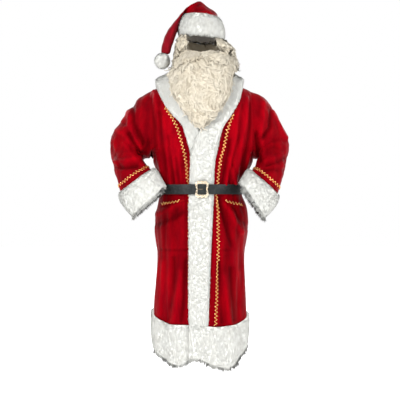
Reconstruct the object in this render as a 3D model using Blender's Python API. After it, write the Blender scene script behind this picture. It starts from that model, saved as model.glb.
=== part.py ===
"""Santa suit as worn: belted robe with long-pile trim, belt, hat, wig, beard and moustache.

Metres, +Z up, front towards -Y. The origin is level with the base of the neck, midway between the
shoulders. Left and right in names are the wearer's; the wearer's left is +X.
"""

import math
from collections import namedtuple

import bmesh
import bpy
from mathutils import Vector

SEAM_GAP = 0.0003
CLOTH = 0.002
BRAID_RISE = 0.0008
BRAID_THICKNESS = 0.0012

# ---------------------------------------------------------------- robe form
# The robe hangs on rings around the upright axis. Each row gives a ring's height, its reach to the
# right arm, the left arm, the front and the back, all from the axis.
CENTRE_X = 0.004
RING_POWER = 2.4
Ring = namedtuple("Ring", "height right left front back")
ROBE_RINGS = [
    Ring(0.060, 0.249, 0.251, 0.136, 0.128),
    Ring(-0.030, 0.266, 0.268, 0.141, 0.136),
    Ring(-0.150, 0.272, 0.281, 0.150, 0.150),
    Ring(-0.250, 0.266, 0.283, 0.152, 0.150),
    Ring(-0.320, 0.249, 0.271, 0.150, 0.145),
    Ring(-0.355, 0.226, 0.252, 0.149, 0.142),
    Ring(-0.408, 0.213, 0.233, 0.148, 0.138),
    Ring(-0.446, 0.201, 0.208, 0.142, 0.133),
    Ring(-0.478, 0.194, 0.196, 0.138, 0.128),
    Ring(-0.527, 0.194, 0.197, 0.138, 0.128),
    Ring(-0.574, 0.204, 0.216, 0.143, 0.138),
    Ring(-0.677, 0.215, 0.228, 0.156, 0.152),
    Ring(-0.782, 0.207, 0.213, 0.160, 0.158),
    Ring(-0.878, 0.209, 0.212, 0.165, 0.162),
    Ring(-1.032, 0.222, 0.219, 0.172, 0.170),
    Ring(-1.130, 0.226, 0.219, 0.176, 0.174),
    Ring(-1.340, 0.215, 0.206, 0.178, 0.176),
]

# Above ROOF_START the front and back lean together and meet on the shoulder ridge.
ROOF_START = -0.170
ROOF_POWER = 2.2
RIDGE_TOP = 0.040
RIDGE_SLOPE = 0.47
NECK_HALF_WIDTH = 0.085

# Folds of the hanging cloth: angle from the front (degrees, left positive), half width (degrees),
# height of the ridge (metres, a trough when negative), where it starts and where it ends.
Fold = namedtuple("Fold", "angle width rise top bottom")
FOLDS = [
    Fold(-36, 9, 0.009, -0.80, -1.34),
    Fold(-51, 8, -0.008, -0.84, -1.34),
    Fold(-67, 9, 0.008, -0.62, -1.34),
    Fold(-85, 9, -0.006, -0.72, -1.34),
    Fold(30, 7, -0.005, -0.72, -1.34),
    Fold(45, 8, 0.008, -0.86, -1.34),
    Fold(59, 7, -0.009, -0.80, -1.34),
    Fold(73, 8, 0.007, -0.62, -1.34),
    Fold(0, 17, -0.016, -0.98, -1.34),
    Fold(104, 9, -0.008, -0.60, -1.34),
    Fold(121, 9, 0.010, -0.56, -1.34),
    Fold(139, 9, -0.009, -0.58, -1.34),
    Fold(157, 9, 0.009, -0.55, -1.34),
    Fold(177, 10, -0.010, -0.57, -1.34),
    Fold(-162, 9, 0.009, -0.55, -1.34),
    Fold(-144, 9, -0.008, -0.60, -1.34),
    Fold(-125, 9, 0.010, -0.56, -1.34),
    Fold(-106, 9, -0.008, -0.62, -1.34),
    Fold(-62, 8, -0.006, -0.14, -0.46),
    Fold(-40, 7, 0.004, -0.30, -0.47),
    Fold(55, 8, -0.006, -0.14, -0.46),
    Fold(38, 7, 0.004, -0.30, -0.47),
    Fold(150, 9, -0.006, -0.12, -0.46),
    Fold(-150, 9, -0.006, -0.12, -0.46),
    Fold(180, 9, 0.005, -0.24, -0.47),
]

# Rows of the panels from the shoulder ridge (0) down to the hem trim.
ARMPIT = -0.355
BELT_TOP = -0.4790
BELT_BOTTOM = -0.5255
HEM_SEAM = -1.130
ARMHOLE_ROWS = [0.0, -0.012, -0.040, -0.080, -0.120, -0.158, -0.195, -0.228, -0.272, -0.313, ARMPIT]
LOWER_ROWS = [-0.400, -0.446, BELT_TOP, BELT_BOTTOM, -0.565, -0.625, -0.700, -0.785, -0.880, -0.970,
              -1.055, HEM_SEAM]
PANEL_ROWS = ARMHOLE_ROWS + LOWER_ROWS

# Lobes raise a line round the robe about an angle, over a half width in degrees.
Lobe = namedtuple("Lobe", "angle width rise")
HEM_SEAM_LOBES = [Lobe(-90, 50, 0.058), Lobe(90, 36, 0.045), Lobe(26, 34, -0.010)]

# The armhole lies in an upright plane at each side.
Armhole = namedtuple("Armhole", "top_x armpit_x")
ARMHOLES = {"right": Armhole(-0.238, -0.222), "left": Armhole(0.246, 0.256)}
SIDE = {"right": -1, "left": 1}

# Front edges: where each trim strip meets its front (seam) and where its free edge runs, by height.
Edge = namedtuple("Edge", "height x")
SEAM_RIGHT = [Edge(0.0, -0.2035), Edge(-0.065, -0.180), Edge(-0.114, -0.157), Edge(-0.158, -0.1236),
              Edge(-0.186, -0.0886), Edge(-0.232, -0.0705), Edge(-0.304, -0.049), Edge(-0.342, -0.040),
              Edge(-0.50, -0.039), Edge(-1.40, -0.039)]
SEAM_LEFT = [Edge(0.0, 0.2035), Edge(-0.037, 0.1957), Edge(-0.090, 0.1834), Edge(-0.147, 0.1536),
             Edge(-0.185, 0.1249), Edge(-0.218, 0.1039), Edge(-0.2715, 0.0923), Edge(-0.316, 0.0835),
             Edge(-0.349, 0.0733), Edge(-0.386, 0.0686), Edge(-0.4735, 0.0654), Edge(-0.545, 0.0645),
             Edge(-0.696, 0.0556), Edge(-0.90, 0.0468), Edge(-1.14, 0.0394), Edge(-1.40, 0.0380)]
FREE_LEFT = [Edge(0.0, 0.105), Edge(-0.076, 0.0862), Edge(-0.105, 0.0655), Edge(-0.134, 0.0389),
             Edge(-0.176, 0.0158), Edge(-0.228, 0.0038), Edge(-0.313, -0.0352), Edge(-0.352, -0.0400),
             Edge(-0.545, -0.0477), Edge(-1.40, -0.0477)]
FREE_RIGHT_TOP = [Edge(0.0, -0.100), Edge(-0.076, -0.0845), Edge(-0.105, -0.0681),
                  Edge(-0.134, -0.0415), Edge(-0.176, -0.0126), Edge(-0.228, 0.0000)]
CROSSING = -0.228
UNDER_SHARE = 0.74


def smoothstep(value):
    value = min(1.0, max(0.0, value))
    return value * value * (3 - 2 * value)


def between(table, height, column):
    """The value of one column of a table whose rows run down in height, eased between rows."""
    if height >= table[0].height:
        return getattr(table[0], column)
    for above, below in zip(table, table[1:]):
        if height >= below.height:
            share = (above.height - height) / (above.height - below.height)
            start, end = getattr(above, column), getattr(below, column)
            return start + (end - start) * share
    return getattr(table[-1], column)


def rounded_between(table, height, column):
    """The same, through a curve that passes the rows without corners."""
    if height >= table[0].height or height <= table[-1].height:
        return between(table, height, column)
    index = next(i for i in range(len(table) - 1) if height >= table[i + 1].height)
    rows = [table[max(0, min(len(table) - 1, index + step))] for step in (-1, 0, 1, 2)]
    before, start, end, after = (getattr(row, column) for row in rows)
    share = (rows[1].height - height) / (rows[1].height - rows[2].height)
    span = rows[1].height - rows[2].height
    slope_in = (end - before) / max(rows[0].height - rows[2].height, 1e-9) * span
    slope_out = (after - start) / max(rows[1].height - rows[3].height, 1e-9) * span
    square, cube = share**2, share**3
    return ((2 * cube - 3 * square + 1) * start + (cube - 2 * square + share) * slope_in
            + (3 * square - 2 * cube) * end + (cube - square) * slope_out)


def reach(angle, right, left, front, back, power):
    """How far a rounded oval reaches from its centre at an angle from the front."""
    sine, cosine = math.sin(angle), math.cos(angle)
    across = left if sine > 0 else right
    along = front if cosine > 0 else back
    return ((abs(sine) / across) ** power + (abs(cosine) / along) ** power) ** (-1 / power)


def fold_rise(angle, height):
    total = 0.0
    for fold in FOLDS:
        apart = (math.degrees(angle) - fold.angle + 180) % 360 - 180
        if abs(apart) < fold.width and fold.bottom < height < fold.top:
            length = fold.top - fold.bottom
            fade = smoothstep((fold.top - height) / (0.45 * length))
            if fold.bottom > HEM_SEAM:
                fade = min(fade, smoothstep((height - fold.bottom) / (0.4 * length)))
            total += fold.rise * fade * math.cos(0.5 * math.pi * apart / fold.width) ** 2
    return total


def raised(lobes, angle):
    """How much the lobes add at an angle."""
    total = 0.0
    for lobe in lobes:
        apart = (math.degrees(angle) - lobe.angle + 180) % 360 - 180
        if abs(apart) < lobe.width:
            total += lobe.rise * math.cos(0.5 * math.pi * apart / lobe.width) ** 2
    return total


def panel_height(angle, height):
    """The panels' last row follows the hem trim's seam, which rises at both sides."""
    return height + raised(HEM_SEAM_LOBES, angle) if height == HEM_SEAM else height


def ridge_height(x):
    return RIDGE_TOP - RIDGE_SLOPE * max(0.0, abs(x - CENTRE_X) - NECK_HALF_WIDTH)


def robe_outer(angle, height):
    """A point of the robe's outer face. Heights above 0 run down the back from the ridge."""
    if height > 0:
        angle, height = math.pi - angle, -height
    ring = [rounded_between(ROBE_RINGS, height, name) for name in ("right", "left", "front", "back")]
    distance = reach(angle, *ring, RING_POWER) + fold_rise(angle, height)
    x = CENTRE_X + distance * math.sin(angle)
    y = -distance * math.cos(angle)
    if height <= ROOF_START:
        return Vector((x, y, height))
    climb = 1 - height / ROOF_START
    lean = max(0.0, 1 - climb**ROOF_POWER) ** (1 / ROOF_POWER)
    return Vector((x, y * lean, ROOF_START + climb * (ridge_height(x) - ROOF_START)))


def robe_point(angle, height, offset=0.0):
    """A point off the robe's outer face along its normal, so that all pieces share their seams."""
    step_angle, step_height = 0.004, 0.0015
    point = robe_outer(angle, height)
    if not offset:
        return point
    along = robe_outer(angle + step_angle, height) - robe_outer(angle - step_angle, height)
    up = robe_outer(angle, height + step_height) - robe_outer(angle, height - step_height)
    normal = along.cross(up).normalized()
    return point + normal * offset


def front_angle(x, height):
    """The angle in the front half at which the robe's face lies at this x."""
    low, high = -0.5 * math.pi, 0.5 * math.pi
    for _ in range(40):
        middle = 0.5 * (low + high)
        if robe_outer(middle, height).x < x:
            low = middle
        else:
            high = middle
    return 0.5 * (low + high)


def armhole_x(side, height):
    share = min(1.0, height / ARMPIT)
    hole = ARMHOLES[side]
    return hole.top_x + share * (hole.armpit_x - hole.top_x)


def side_angle(side, height):
    """The angle of the side seam, or of the armhole's front edge above it."""
    if height <= ARMPIT:
        return SIDE[side] * 0.5 * math.pi
    return front_angle(armhole_x(side, height), height)


def nudged(angle, height, shift):
    """The angle moved round by a shift in metres."""
    here, there = robe_outer(angle, height), robe_outer(angle + 0.01, height)
    return angle + 0.01 * shift / max((there - here).length, 1e-6)


def under_free_x(height):
    """The free edge of the under strip: it shows above the crossing and lies beneath below it."""
    if height >= CROSSING:
        return between(FREE_RIGHT_TOP, height, "x")
    free, seam = between(FREE_LEFT, height, "x"), between(SEAM_LEFT, height, "x")
    share = smoothstep((CROSSING - height) / 0.12)
    return (1 - share) * 0.5 * (free + 0.01) + share * (free + UNDER_SHARE * (seam - free))


# ---------------------------------------------------------------- mesh making
def finished(name, mesh_builder, material, smooth=True):
    """Turns a bmesh into a named object with outward faces and its material."""
    bmesh.ops.recalc_face_normals(mesh_builder, faces=mesh_builder.faces)
    mesh = bpy.data.meshes.new(name)
    mesh_builder.to_mesh(mesh)
    mesh_builder.free()
    obj = bpy.data.objects.new(name, mesh)
    bpy.context.scene.collection.objects.link(obj)
    mesh.materials.append(material)
    if smooth:
        mesh.shade_smooth()
        mesh.set_sharp_from_angle(angle=math.radians(50))
    return obj


def wall(name, outer, inner, material, ring=False):
    """A closed wall between two grids of points, each a list of rows. A ring's rows close up."""
    shape = bmesh.new()
    grids = [[[shape.verts.new(point) for point in row] for row in grid] for grid in (outer, inner)]
    count, width = len(outer), len(outer[0])
    last = width if ring else width - 1
    for grid in grids:
        for upper, lower in zip(grid, grid[1:]):
            for column in range(last):
                after = (column + 1) % width
                shape.faces.new((upper[column], upper[after], lower[after], lower[column]))
    out, back = grids
    for row in (0, count - 1):
        for column in range(last):
            after = (column + 1) % width
            shape.faces.new((out[row][column], out[row][after], back[row][after], back[row][column]))
    if not ring:
        for column in (0, width - 1):
            for row in range(count - 1):
                shape.faces.new((out[row][column], out[row + 1][column], back[row + 1][column],
                                 back[row][column]))
    return finished(name, shape, material)


def plain_material(name, colour, roughness, metallic=0.0):
    material = bpy.data.materials.new(name)
    material.use_nodes = True
    shader = material.node_tree.nodes["Principled BSDF"]
    shader.inputs["Base Color"].default_value = (*colour, 1)
    shader.inputs["Roughness"].default_value = roughness
    shader.inputs["Metallic"].default_value = metallic
    return material


# ---------------------------------------------------------------- robe panels
BRAID_WIDTH = 0.008
# The strip of velour left between each trim seam and the braid's near edge, by height.
Inset = namedtuple("Inset", "height gap")
BRAID_INSETS = {
    "right": [Inset(-0.144, 0.004), Inset(-0.158, 0.009), Inset(-0.185, 0.022), Inset(-0.310, 0.024),
              Inset(-0.365, 0.021), Inset(-0.418, 0.015), Inset(-0.470, 0.010), Inset(-0.533, 0.004),
              Inset(-1.40, 0.003)],
    "left": [Inset(-0.139, 0.004), Inset(-0.173, 0.012), Inset(-0.219, 0.023), Inset(-0.331, 0.024),
             Inset(-0.466, 0.015), Inset(-0.528, 0.010), Inset(-0.614, 0.021), Inset(-0.821, 0.031),
             Inset(-1.40, 0.031)],
}
INSET_SHARE = 0.15
BRAID_SHARE = 0.3
FRONT_COLUMNS = 10
BACK_COLUMNS = 20
SHOULDER_SEAM_REACH = 0.001


def front_columns(side, height):
    """The angles of a front's columns: seam, the braid's two edges, then evenly to the side."""
    seam = SEAM_LEFT if side == "left" else SEAM_RIGHT
    edge_x = between(seam, height, "x")
    edge = front_angle(edge_x, height)
    end = nudged(side_angle(side, height), height, -SIDE[side] * 0.5 * SEAM_GAP)
    room = abs(robe_outer(end, height).x - edge_x) if height > ROOF_START else 1.0
    inset = min(between(BRAID_INSETS[side], height, "gap"), INSET_SHARE * room)
    width = min(BRAID_WIDTH, BRAID_SHARE * room)
    start = nudged(edge, height, SIDE[side] * 0.5 * SEAM_GAP)
    first = nudged(edge, height, SIDE[side] * inset)
    second = nudged(edge, height, SIDE[side] * (inset + width))
    rest = [second + (end - second) * step / FRONT_COLUMNS for step in range(1, FRONT_COLUMNS + 1)]
    return [start, first, second] + rest


def part_at_ridge(grids, shift):
    """Moves the points that lie on the shoulder seam to their own side of it."""
    for grid in grids:
        for point in grid[0]:
            if abs(point.y) < SHOULDER_SEAM_REACH:
                point.y += shift


def robe_front(side, material):
    angles = {height: front_columns(side, height) for height in PANEL_ROWS}
    grids = [[[robe_point(angle, panel_height(angle, height), offset) for angle in angles[height]]
              for height in PANEL_ROWS] for offset in (0.0, -CLOTH)]
    part_at_ridge(grids, -0.5 * SEAM_GAP)
    return wall(f"robe_front_{side}", *grids, material)


# The back's upper edge follows the collar: its columns start at the armhole, turn at the collar's
# corner on the shoulder ridge and run down to the middle of the back.
COLLAR_CORNER = SEAM_LEFT[0].x
COLLAR_BACK_DROP = 0.105
BACK_EVEN_ROW = -0.195
BACK_TOP_SHARES = [1.0, 0.97, 0.88, 0.75, 0.60, 0.45, 0.30, 0.15, 0.0]


def back_top_half(side):
    """(x, height) of the back's upper edge from the armhole to the middle, for one side."""
    edge = [(armhole_x(side, 0), 0.0)]
    for share in BACK_TOP_SHARES:
        drop = COLLAR_BACK_DROP * math.sqrt(max(0.0, 1 - share**2.4))
        edge.append((SIDE[side] * share * COLLAR_CORNER, -drop))
    return edge


def back_angle(x, height):
    """The angle in the back half at which the robe's back lies at this x, found on its own ring."""
    low, high = 0.5 * math.pi, 1.5 * math.pi
    for _ in range(40):
        middle = 0.5 * (low + high)
        if robe_outer(middle, height).x > x:
            low = middle
        else:
            high = middle
    return 0.5 * (low + high)


def back_row(height):
    """(angle, height) pairs of one row of the back, from the left side to the right side."""
    halves = []
    for side in ("left", "right"):
        edge = back_top_half(side)
        end = back_angle(armhole_x(side, height), height) if height > ARMPIT else None
        if end is None:
            end = 0.5 * math.pi if side == "left" else 1.5 * math.pi
        gap = 0.0 if height > ARMPIT else 0.5 * SEAM_GAP
        end = nudged(end, height, SIDE[side] * gap)
        row = []
        for index, (x, top) in enumerate(edge):
            place = height
            if height > BACK_EVEN_ROW:
                place = top + (height / BACK_EVEN_ROW) * (BACK_EVEN_ROW - top)
            even = end + (math.pi - end) * index / (len(edge) - 1)
            mix = smoothstep((-height - 0.10) / 0.26)
            if mix < 1:
                reach_x = x / edge[0][0] * armhole_x(side, height)
                by_x = back_angle(reach_x, place) if index else end
                even = (1 - mix) * by_x + mix * even
            row.append((even, place))
        halves.append(row)
    return halves[0] + halves[1][-2::-1]


def robe_back(material):
    """The back, from side seam to side seam, with its short shoulder seams at the top corners."""
    rows = [back_row(height) for height in PANEL_ROWS]
    grids = [[[robe_point(angle, panel_height(angle, height), offset) for angle, height in row]
              for row in rows] for offset in (0.0, -CLOTH)]
    part_at_ridge(grids, 0.5 * SEAM_GAP)
    return wall("robe_back", *grids, material)


# ---------------------------------------------------------------- trim of the fronts and collar
TRIM_FULL = 0.014
TRIM_UNDER = 0.008
TRIM_PINCH = 0.40
LAYER_GAP = 0.0012
TRIM_SHARES = [0.0, 0.12, 0.40, 0.74, 0.88, 1.0]
COLLAR_ROLL = 0.022
COLLAR_CROWN = 0.020
FREE_BACK_DROP = 0.030
PINCH_FADE = 0.06
UNDER_FADE = 0.033
CLIMB_START = -0.150
CLIMB_SHARE = UNDER_SHARE + 0.14
NECK_START = -0.050
BACK_ROLL_LOSS = 0.45
ROLL_SHARE = 0.16
EDGE_ROUNDING = {0.0: 0.45, 1.0: 0.40}


def pinch(height):
    """How much the belt leaves of the trim's thickness."""
    middle, half = 0.5 * (BELT_TOP + BELT_BOTTOM), 0.5 * (BELT_TOP - BELT_BOTTOM)
    away = max(0.0, abs(height - middle) - half)
    return TRIM_PINCH + (1 - TRIM_PINCH) * smoothstep(away / PINCH_FADE)


def under_top(height):
    """The outer face of the under strip: full where it shows, pressed where the other laps it."""
    share = smoothstep((CROSSING + UNDER_FADE - height) / UNDER_FADE)
    return (TRIM_FULL + share * (TRIM_UNDER - TRIM_FULL)) * pinch(height)


def over_base(height, share):
    """The inner face of the over strip, which climbs the under strip below the crossing."""
    climbed = smoothstep((CLIMB_START - height) / (CLIMB_START - CROSSING))
    lift = under_top(height) + LAYER_GAP
    across = 1.0 if share <= CLIMB_SHARE else 0.0
    return -CLOTH + climbed * across * (lift + CLOTH)


def trim_stations(side):
    """(height, on_back, free, seam) along a strip, hem seam to the middle of the back of the neck."""
    stations = []
    for height in reversed(PANEL_ROWS):
        seam_x = between(SEAM_LEFT if side == "left" else SEAM_RIGHT, height, "x")
        free_x = between(FREE_LEFT, height, "x") if side == "left" else under_free_x(height)
        stations.append(((free_x, height, False), (seam_x, height, False)))
    neck = abs(stations[-1][0][0])
    for x, top in back_top_half(side)[2:]:
        share = abs(x) / COLLAR_CORNER
        free_height = -FREE_BACK_DROP * math.sqrt(max(0.0, 1 - share**2))
        stations.append(((SIDE[side] * neck * share, free_height, True), (x, top, True)))
    return stations


def spot(x, height, on_back, offset):
    angle = back_angle(x, height) if on_back else front_angle(x, height)
    return robe_point(angle, height, offset)


def trim_strip(side, material):
    """One long-pile strip: flat against the body below, rolled up around the neck."""
    outer, inner = [], []
    for free, seam in trim_stations(side):
        height, on_back = seam[1], seam[2]
        neck = 1.0 if on_back else smoothstep((height - NECK_START) / -NECK_START)
        back_share = 1 - abs(seam[0]) / COLLAR_CORNER if on_back else 0.0
        roll = COLLAR_ROLL * neck * (1 - BACK_ROLL_LOSS * back_share)
        tops, bases = [], []
        for share in TRIM_SHARES:
            x = free[0] + share * (seam[0] - free[0])
            place = free[1] + share * (seam[1] - free[1])
            gap = 0.5 * SEAM_GAP if share == 1.0 else 0.0
            x -= SIDE[side] * gap
            place += SEAM_GAP if on_back and share == 1.0 else 0.0
            if on_back and abs(seam[0]) < 1e-6:
                x += SIDE[side] * SEAM_GAP
            lifted = roll * smoothstep((1 - share) / ROLL_SHARE)
            base = over_base(height, share) if side == "left" and not on_back else -CLOTH
            full = (TRIM_FULL - TRIM_UNDER / 4) * pinch(height) if side == "left" else 0
            top = base + CLOTH + full if side == "left" and not on_back else under_top(height)
            if on_back:
                top = TRIM_FULL
            top += (COLLAR_CROWN - TRIM_FULL + CLOTH) * neck
            rounded = EDGE_ROUNDING.get(share, 1.0)
            bases.append(spot(x, place, on_back, base + lifted))
            tops.append(spot(x, place, on_back, base + lifted + (top - base) * rounded))
        outer.append(tops)
        inner.append(bases)
    return wall(f"front_trim_{side}", outer, inner, material)


# ---------------------------------------------------------------- hem trim
HEM_BOTTOM = -1.308
HEM_ROWS = 4
HEM_GAP = 0.0022
HEM_SIDE_COLUMNS = 8
HEM_BACK_COLUMNS = 20
HEM_ROUNDING = {0: 0.75, HEM_ROWS: 0.55}
FREE_EDGE_WIDTH = 0.008
OVERLAP_END = 0.004
SEAM_RISE_WIDTH = 0.006
UNDER_EDGE_WIDTH = 0.010
UNDER_RISE = (0.005, 0.024)
HEM_LOBES = [Lobe(-6, 22, 0.045), Lobe(-34, 26, -0.004), Lobe(38, 26, -0.020), Lobe(180, 90, 0.006),
             Lobe(-90, 60, 0.070), Lobe(90, 50, 0.075)]


def hem_wall(name, columns, material):
    """A band of trim below the panels. Each column is (angle, inner offset, outer offset)."""
    outer, inner = [], []
    for row in range(HEM_ROWS + 1):
        share = row / HEM_ROWS
        rounded = HEM_ROUNDING.get(row, 1.0)
        tops, bases = [], []
        for angle, base, top in columns:
            start = panel_height(angle, HEM_SEAM) - HEM_GAP
            height = start + share * (HEM_BOTTOM + raised(HEM_LOBES, angle) - start)
            bases.append(robe_point(angle, height, base))
            tops.append(robe_point(angle, height, base + (top - base) * rounded))
        outer.append(tops)
        inner.append(bases)
    return wall(name, outer, inner, material)


def hem_front(side, material):
    """Half of the hem trim, lapped at the front as the fronts are."""
    free = between(FREE_LEFT, HEM_SEAM, "x")
    seam = between(SEAM_LEFT, HEM_SEAM, "x")
    under = under_free_x(HEM_SEAM)
    lift = TRIM_UNDER + LAYER_GAP
    if side == "left":
        top = lift + TRIM_FULL - CLOTH
        marks = [(free, lift, lift + 0.5 * TRIM_FULL), (free + FREE_EDGE_WIDTH, lift, top),
                 (under + OVERLAP_END, lift, top), (seam + SEAM_RISE_WIDTH, -CLOTH, TRIM_FULL)]
    else:
        marks = [(under, -CLOTH, 0.6 * TRIM_UNDER), (under - UNDER_EDGE_WIDTH, -CLOTH, TRIM_UNDER),
                 (free - UNDER_RISE[0], -CLOTH, TRIM_UNDER), (free - UNDER_RISE[1], -CLOTH, TRIM_FULL)]
    columns = [(front_angle(x, HEM_SEAM), base, top) for x, base, top in marks]
    start = columns[-1][0]
    end = nudged(SIDE[side] * 0.5 * math.pi, HEM_SEAM, -SIDE[side] * 0.5 * SEAM_GAP)
    for step in range(1, HEM_SIDE_COLUMNS + 1):
        columns.append((start + (end - start) * step / HEM_SIDE_COLUMNS, -CLOTH, TRIM_FULL))
    return hem_wall(f"hem_trim_{side}", columns, material)


def hem_back(material):
    start = nudged(0.5 * math.pi, HEM_SEAM, 0.5 * SEAM_GAP)
    end = nudged(1.5 * math.pi, HEM_SEAM, -0.5 * SEAM_GAP)
    columns = [(start + (end - start) * step / HEM_BACK_COLUMNS, -CLOTH, TRIM_FULL)
               for step in range(HEM_BACK_COLUMNS + 1)]
    return hem_wall("hem_trim_back", columns, material)


# ---------------------------------------------------------------- sleeves and cuffs
# Each row is a ring of the sleeve: the outer and the inner edge as seen from the front, the depth
# of its middle (y) and its half depth.
Cuff = namedtuple("Cuff", "out_x out_z in_x in_z y half")
SLEEVES = {
    "right": [
        Cuff(-0.302, -0.074, -0.235, -0.347, 0.002, 0.088),
        Cuff(-0.354, -0.144, -0.248, -0.352, 0.004, 0.084),
        Cuff(-0.401, -0.209, -0.261, -0.354, 0.004, 0.080),
        Cuff(-0.428, -0.274, -0.271, -0.362, -0.004, 0.077),
        Cuff(-0.422, -0.327, -0.269, -0.374, -0.026, 0.074),
        Cuff(-0.411, -0.375, -0.258, -0.383, -0.052, 0.072),
        Cuff(-0.394, -0.440, -0.241, -0.396, -0.082, 0.072),
        Cuff(-0.370, -0.516, -0.226, -0.409, -0.106, 0.076),
    ],
    "left": [
        Cuff(0.302, -0.058, 0.264, -0.352, 0.002, 0.088),
        Cuff(0.342, -0.104, 0.273, -0.355, 0.004, 0.084),
        Cuff(0.377, -0.171, 0.280, -0.358, 0.004, 0.080),
        Cuff(0.417, -0.246, 0.281, -0.365, -0.004, 0.077),
        Cuff(0.425, -0.289, 0.276, -0.378, -0.026, 0.074),
        Cuff(0.416, -0.345, 0.265, -0.393, -0.052, 0.072),
        Cuff(0.396, -0.429, 0.255, -0.405, -0.082, 0.072),
        Cuff(0.365, -0.525, 0.242, -0.415, -0.106, 0.074),
    ],
}
CUFF_RINGS = {
    "right": [Cuff(-0.356, -0.560, -0.203, -0.430, -0.122, 0.079),
              Cuff(-0.312, -0.620, -0.162, -0.487, -0.150, 0.072)],
    "left": [Cuff(0.347, -0.572, 0.223, -0.430, -0.122, 0.078),
             Cuff(0.302, -0.628, 0.190, -0.468, -0.150, 0.072)],
}
CUFF_TRIM = 0.013


def armhole_loop(side, offset):
    """The armhole's edge, over the top, down the front, through the armpit and up the back."""
    loop = []
    for height in ARMHOLE_ROWS:
        loop.append(robe_point(side_angle(side, height), height, offset))
    for height in ARMHOLE_ROWS[-2:0:-1]:
        loop.append(robe_point(back_angle(armhole_x(side, height), height), height, offset))
    return [point + Vector((SIDE[side] * SEAM_GAP, 0, 0)) for point in loop]


# The rings stand square to the arm down to the elbow and turn to upright at the cuff.
UPRIGHT = (0, 0, 0, 0, 0, 0.4, 0.8, 1, 1, 1)


def oval_loop(ring, before, after, count, upright, shrink=0.0):
    """A ring of the sleeve between its neighbours, from the outer edge round the front to the
    inner edge."""
    out = Vector((ring.out_x, ring.y, ring.out_z))
    into = Vector((ring.in_x, ring.y, ring.in_z))
    across = (out - into).normalized()
    arm = (after - before).normalized()
    depth = arm.cross(across).normalized()
    if depth.y > 0:
        depth = -depth
    depth = depth.lerp(Vector((0, -1, 0)), upright).normalized()
    middle, half = 0.5 * (out + into), 0.5 * (out - into).length - shrink
    loop = []
    for step in range(count):
        turn = 2 * math.pi * step / count
        loop.append(middle + across * half * math.cos(turn)
                    + depth * (ring.half - shrink) * math.sin(turn))
    return loop


def ring_middle(ring):
    return Vector((0.5 * (ring.out_x + ring.in_x), ring.y, 0.5 * (ring.out_z + ring.in_z)))


def arm_loops(side, rings, shrink):
    count = 2 * (len(ARMHOLE_ROWS) - 1)
    first = sum(armhole_loop(side, 0.0), Vector()) / count
    line = [first] + [ring_middle(ring) for ring in SLEEVES[side] + CUFF_RINGS[side]]
    places = SLEEVES[side] + CUFF_RINGS[side]
    loops = []
    for ring in rings:
        index = places.index(ring) + 1
        after = line[min(index + 1, len(line) - 1)]
        loops.append(oval_loop(ring, line[index - 1], after, count, UPRIGHT[index - 1], shrink))
    return loops


def sleeve(side, material):
    outer = [armhole_loop(side, 0.0)] + arm_loops(side, SLEEVES[side], 0.0)
    inner = [armhole_loop(side, -CLOTH)] + arm_loops(side, SLEEVES[side], CLOTH)
    return wall(f"sleeve_{side}", outer, inner, material, ring=True)


def toward(loop, target, distance):
    """The loop moved towards another loop of the same count."""
    return [point + (goal - point).normalized() * distance for point, goal in zip(loop, target)]


def cuff_trim(side, material):
    """The long-pile tube on the sleeve's end."""
    rings = [SLEEVES[side][-1]] + CUFF_RINGS[side]
    plain = arm_loops(side, rings, 0.0)
    thin = arm_loops(side, rings, CLOTH)
    wide = arm_loops(side, rings, -CUFF_TRIM)
    edge = arm_loops(side, rings, -0.5 * CUFF_TRIM)
    plain[0], thin[0], wide[0], edge[0] = (
        toward(loops[0], loops[1], SEAM_GAP) for loops in (plain, thin, wide, edge))
    swell = [point.lerp(goal, 0.25) for point, goal in zip(wide[0], wide[1])]
    inner = [thin[0], [point.lerp(goal, 0.25) for point, goal in zip(thin[0], thin[1])], thin[1],
             thin[2]]
    return wall(f"cuff_trim_{side}", [edge[0], swell, wide[1], edge[2]], inner, material, ring=True)


# ---------------------------------------------------------------- braid and pocket flaps
BRAID_FIRST_ROW = 4


def front_braid(side, material):
    """Braid along a front beside its trim, on the front's own columns moved out."""
    rows = PANEL_ROWS[BRAID_FIRST_ROW:]
    grids = []
    for offset in (BRAID_RISE + BRAID_THICKNESS, BRAID_RISE):
        grids.append([[robe_point(angle, height, offset) for angle in front_columns(side, height)[1:3]]
                      for height in rows])
    return wall(f"front_braid_{side}", *grids, material)


SLEEVE_BRAID_RISE = 0.0024
SLEEVE_BRAID_WIDTH = 0.014
SLEEVE_BRAID_UP = 0.026


def up_sleeve(loops, distance):
    """Points at a distance up the sleeve from its end, measured along each column of its rings."""
    points = []
    for column in zip(*reversed(loops)):
        left = distance
        for point, goal in zip(column, column[1:]):
            step = (goal - point).length
            if left <= step:
                break
            left -= step
        points.append(point.lerp(goal, left / step))
    return points


def sleeve_braid(side, material):
    """Braid round the sleeve, above the cuff trim."""
    grids = []
    for rise in (SLEEVE_BRAID_RISE + BRAID_THICKNESS, SLEEVE_BRAID_RISE):
        loops = arm_loops(side, SLEEVES[side], -rise)
        grids.append([up_sleeve(loops, SLEEVE_BRAID_UP + SLEEVE_BRAID_WIDTH),
                      up_sleeve(loops, SLEEVE_BRAID_UP)])
    return wall(f"sleeve_braid_{side}", *grids, material, ring=True)


FLAP_TOP = -0.5315
FLAP_ENDS = {"right": (-29, -66), "left": (43, 74)}
FLAP_DEPTHS = {"right": (0.028, 0.048), "left": (0.034, 0.058)}
FLAP_COLUMNS = 5
FLAP_THICKNESS = 0.002
FLAP_RISE = 0.0015
FLAP_SHARES = (0, 0.5, 1)
FLAP_BRAID_SHARES = (0.72, 0.94)


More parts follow.
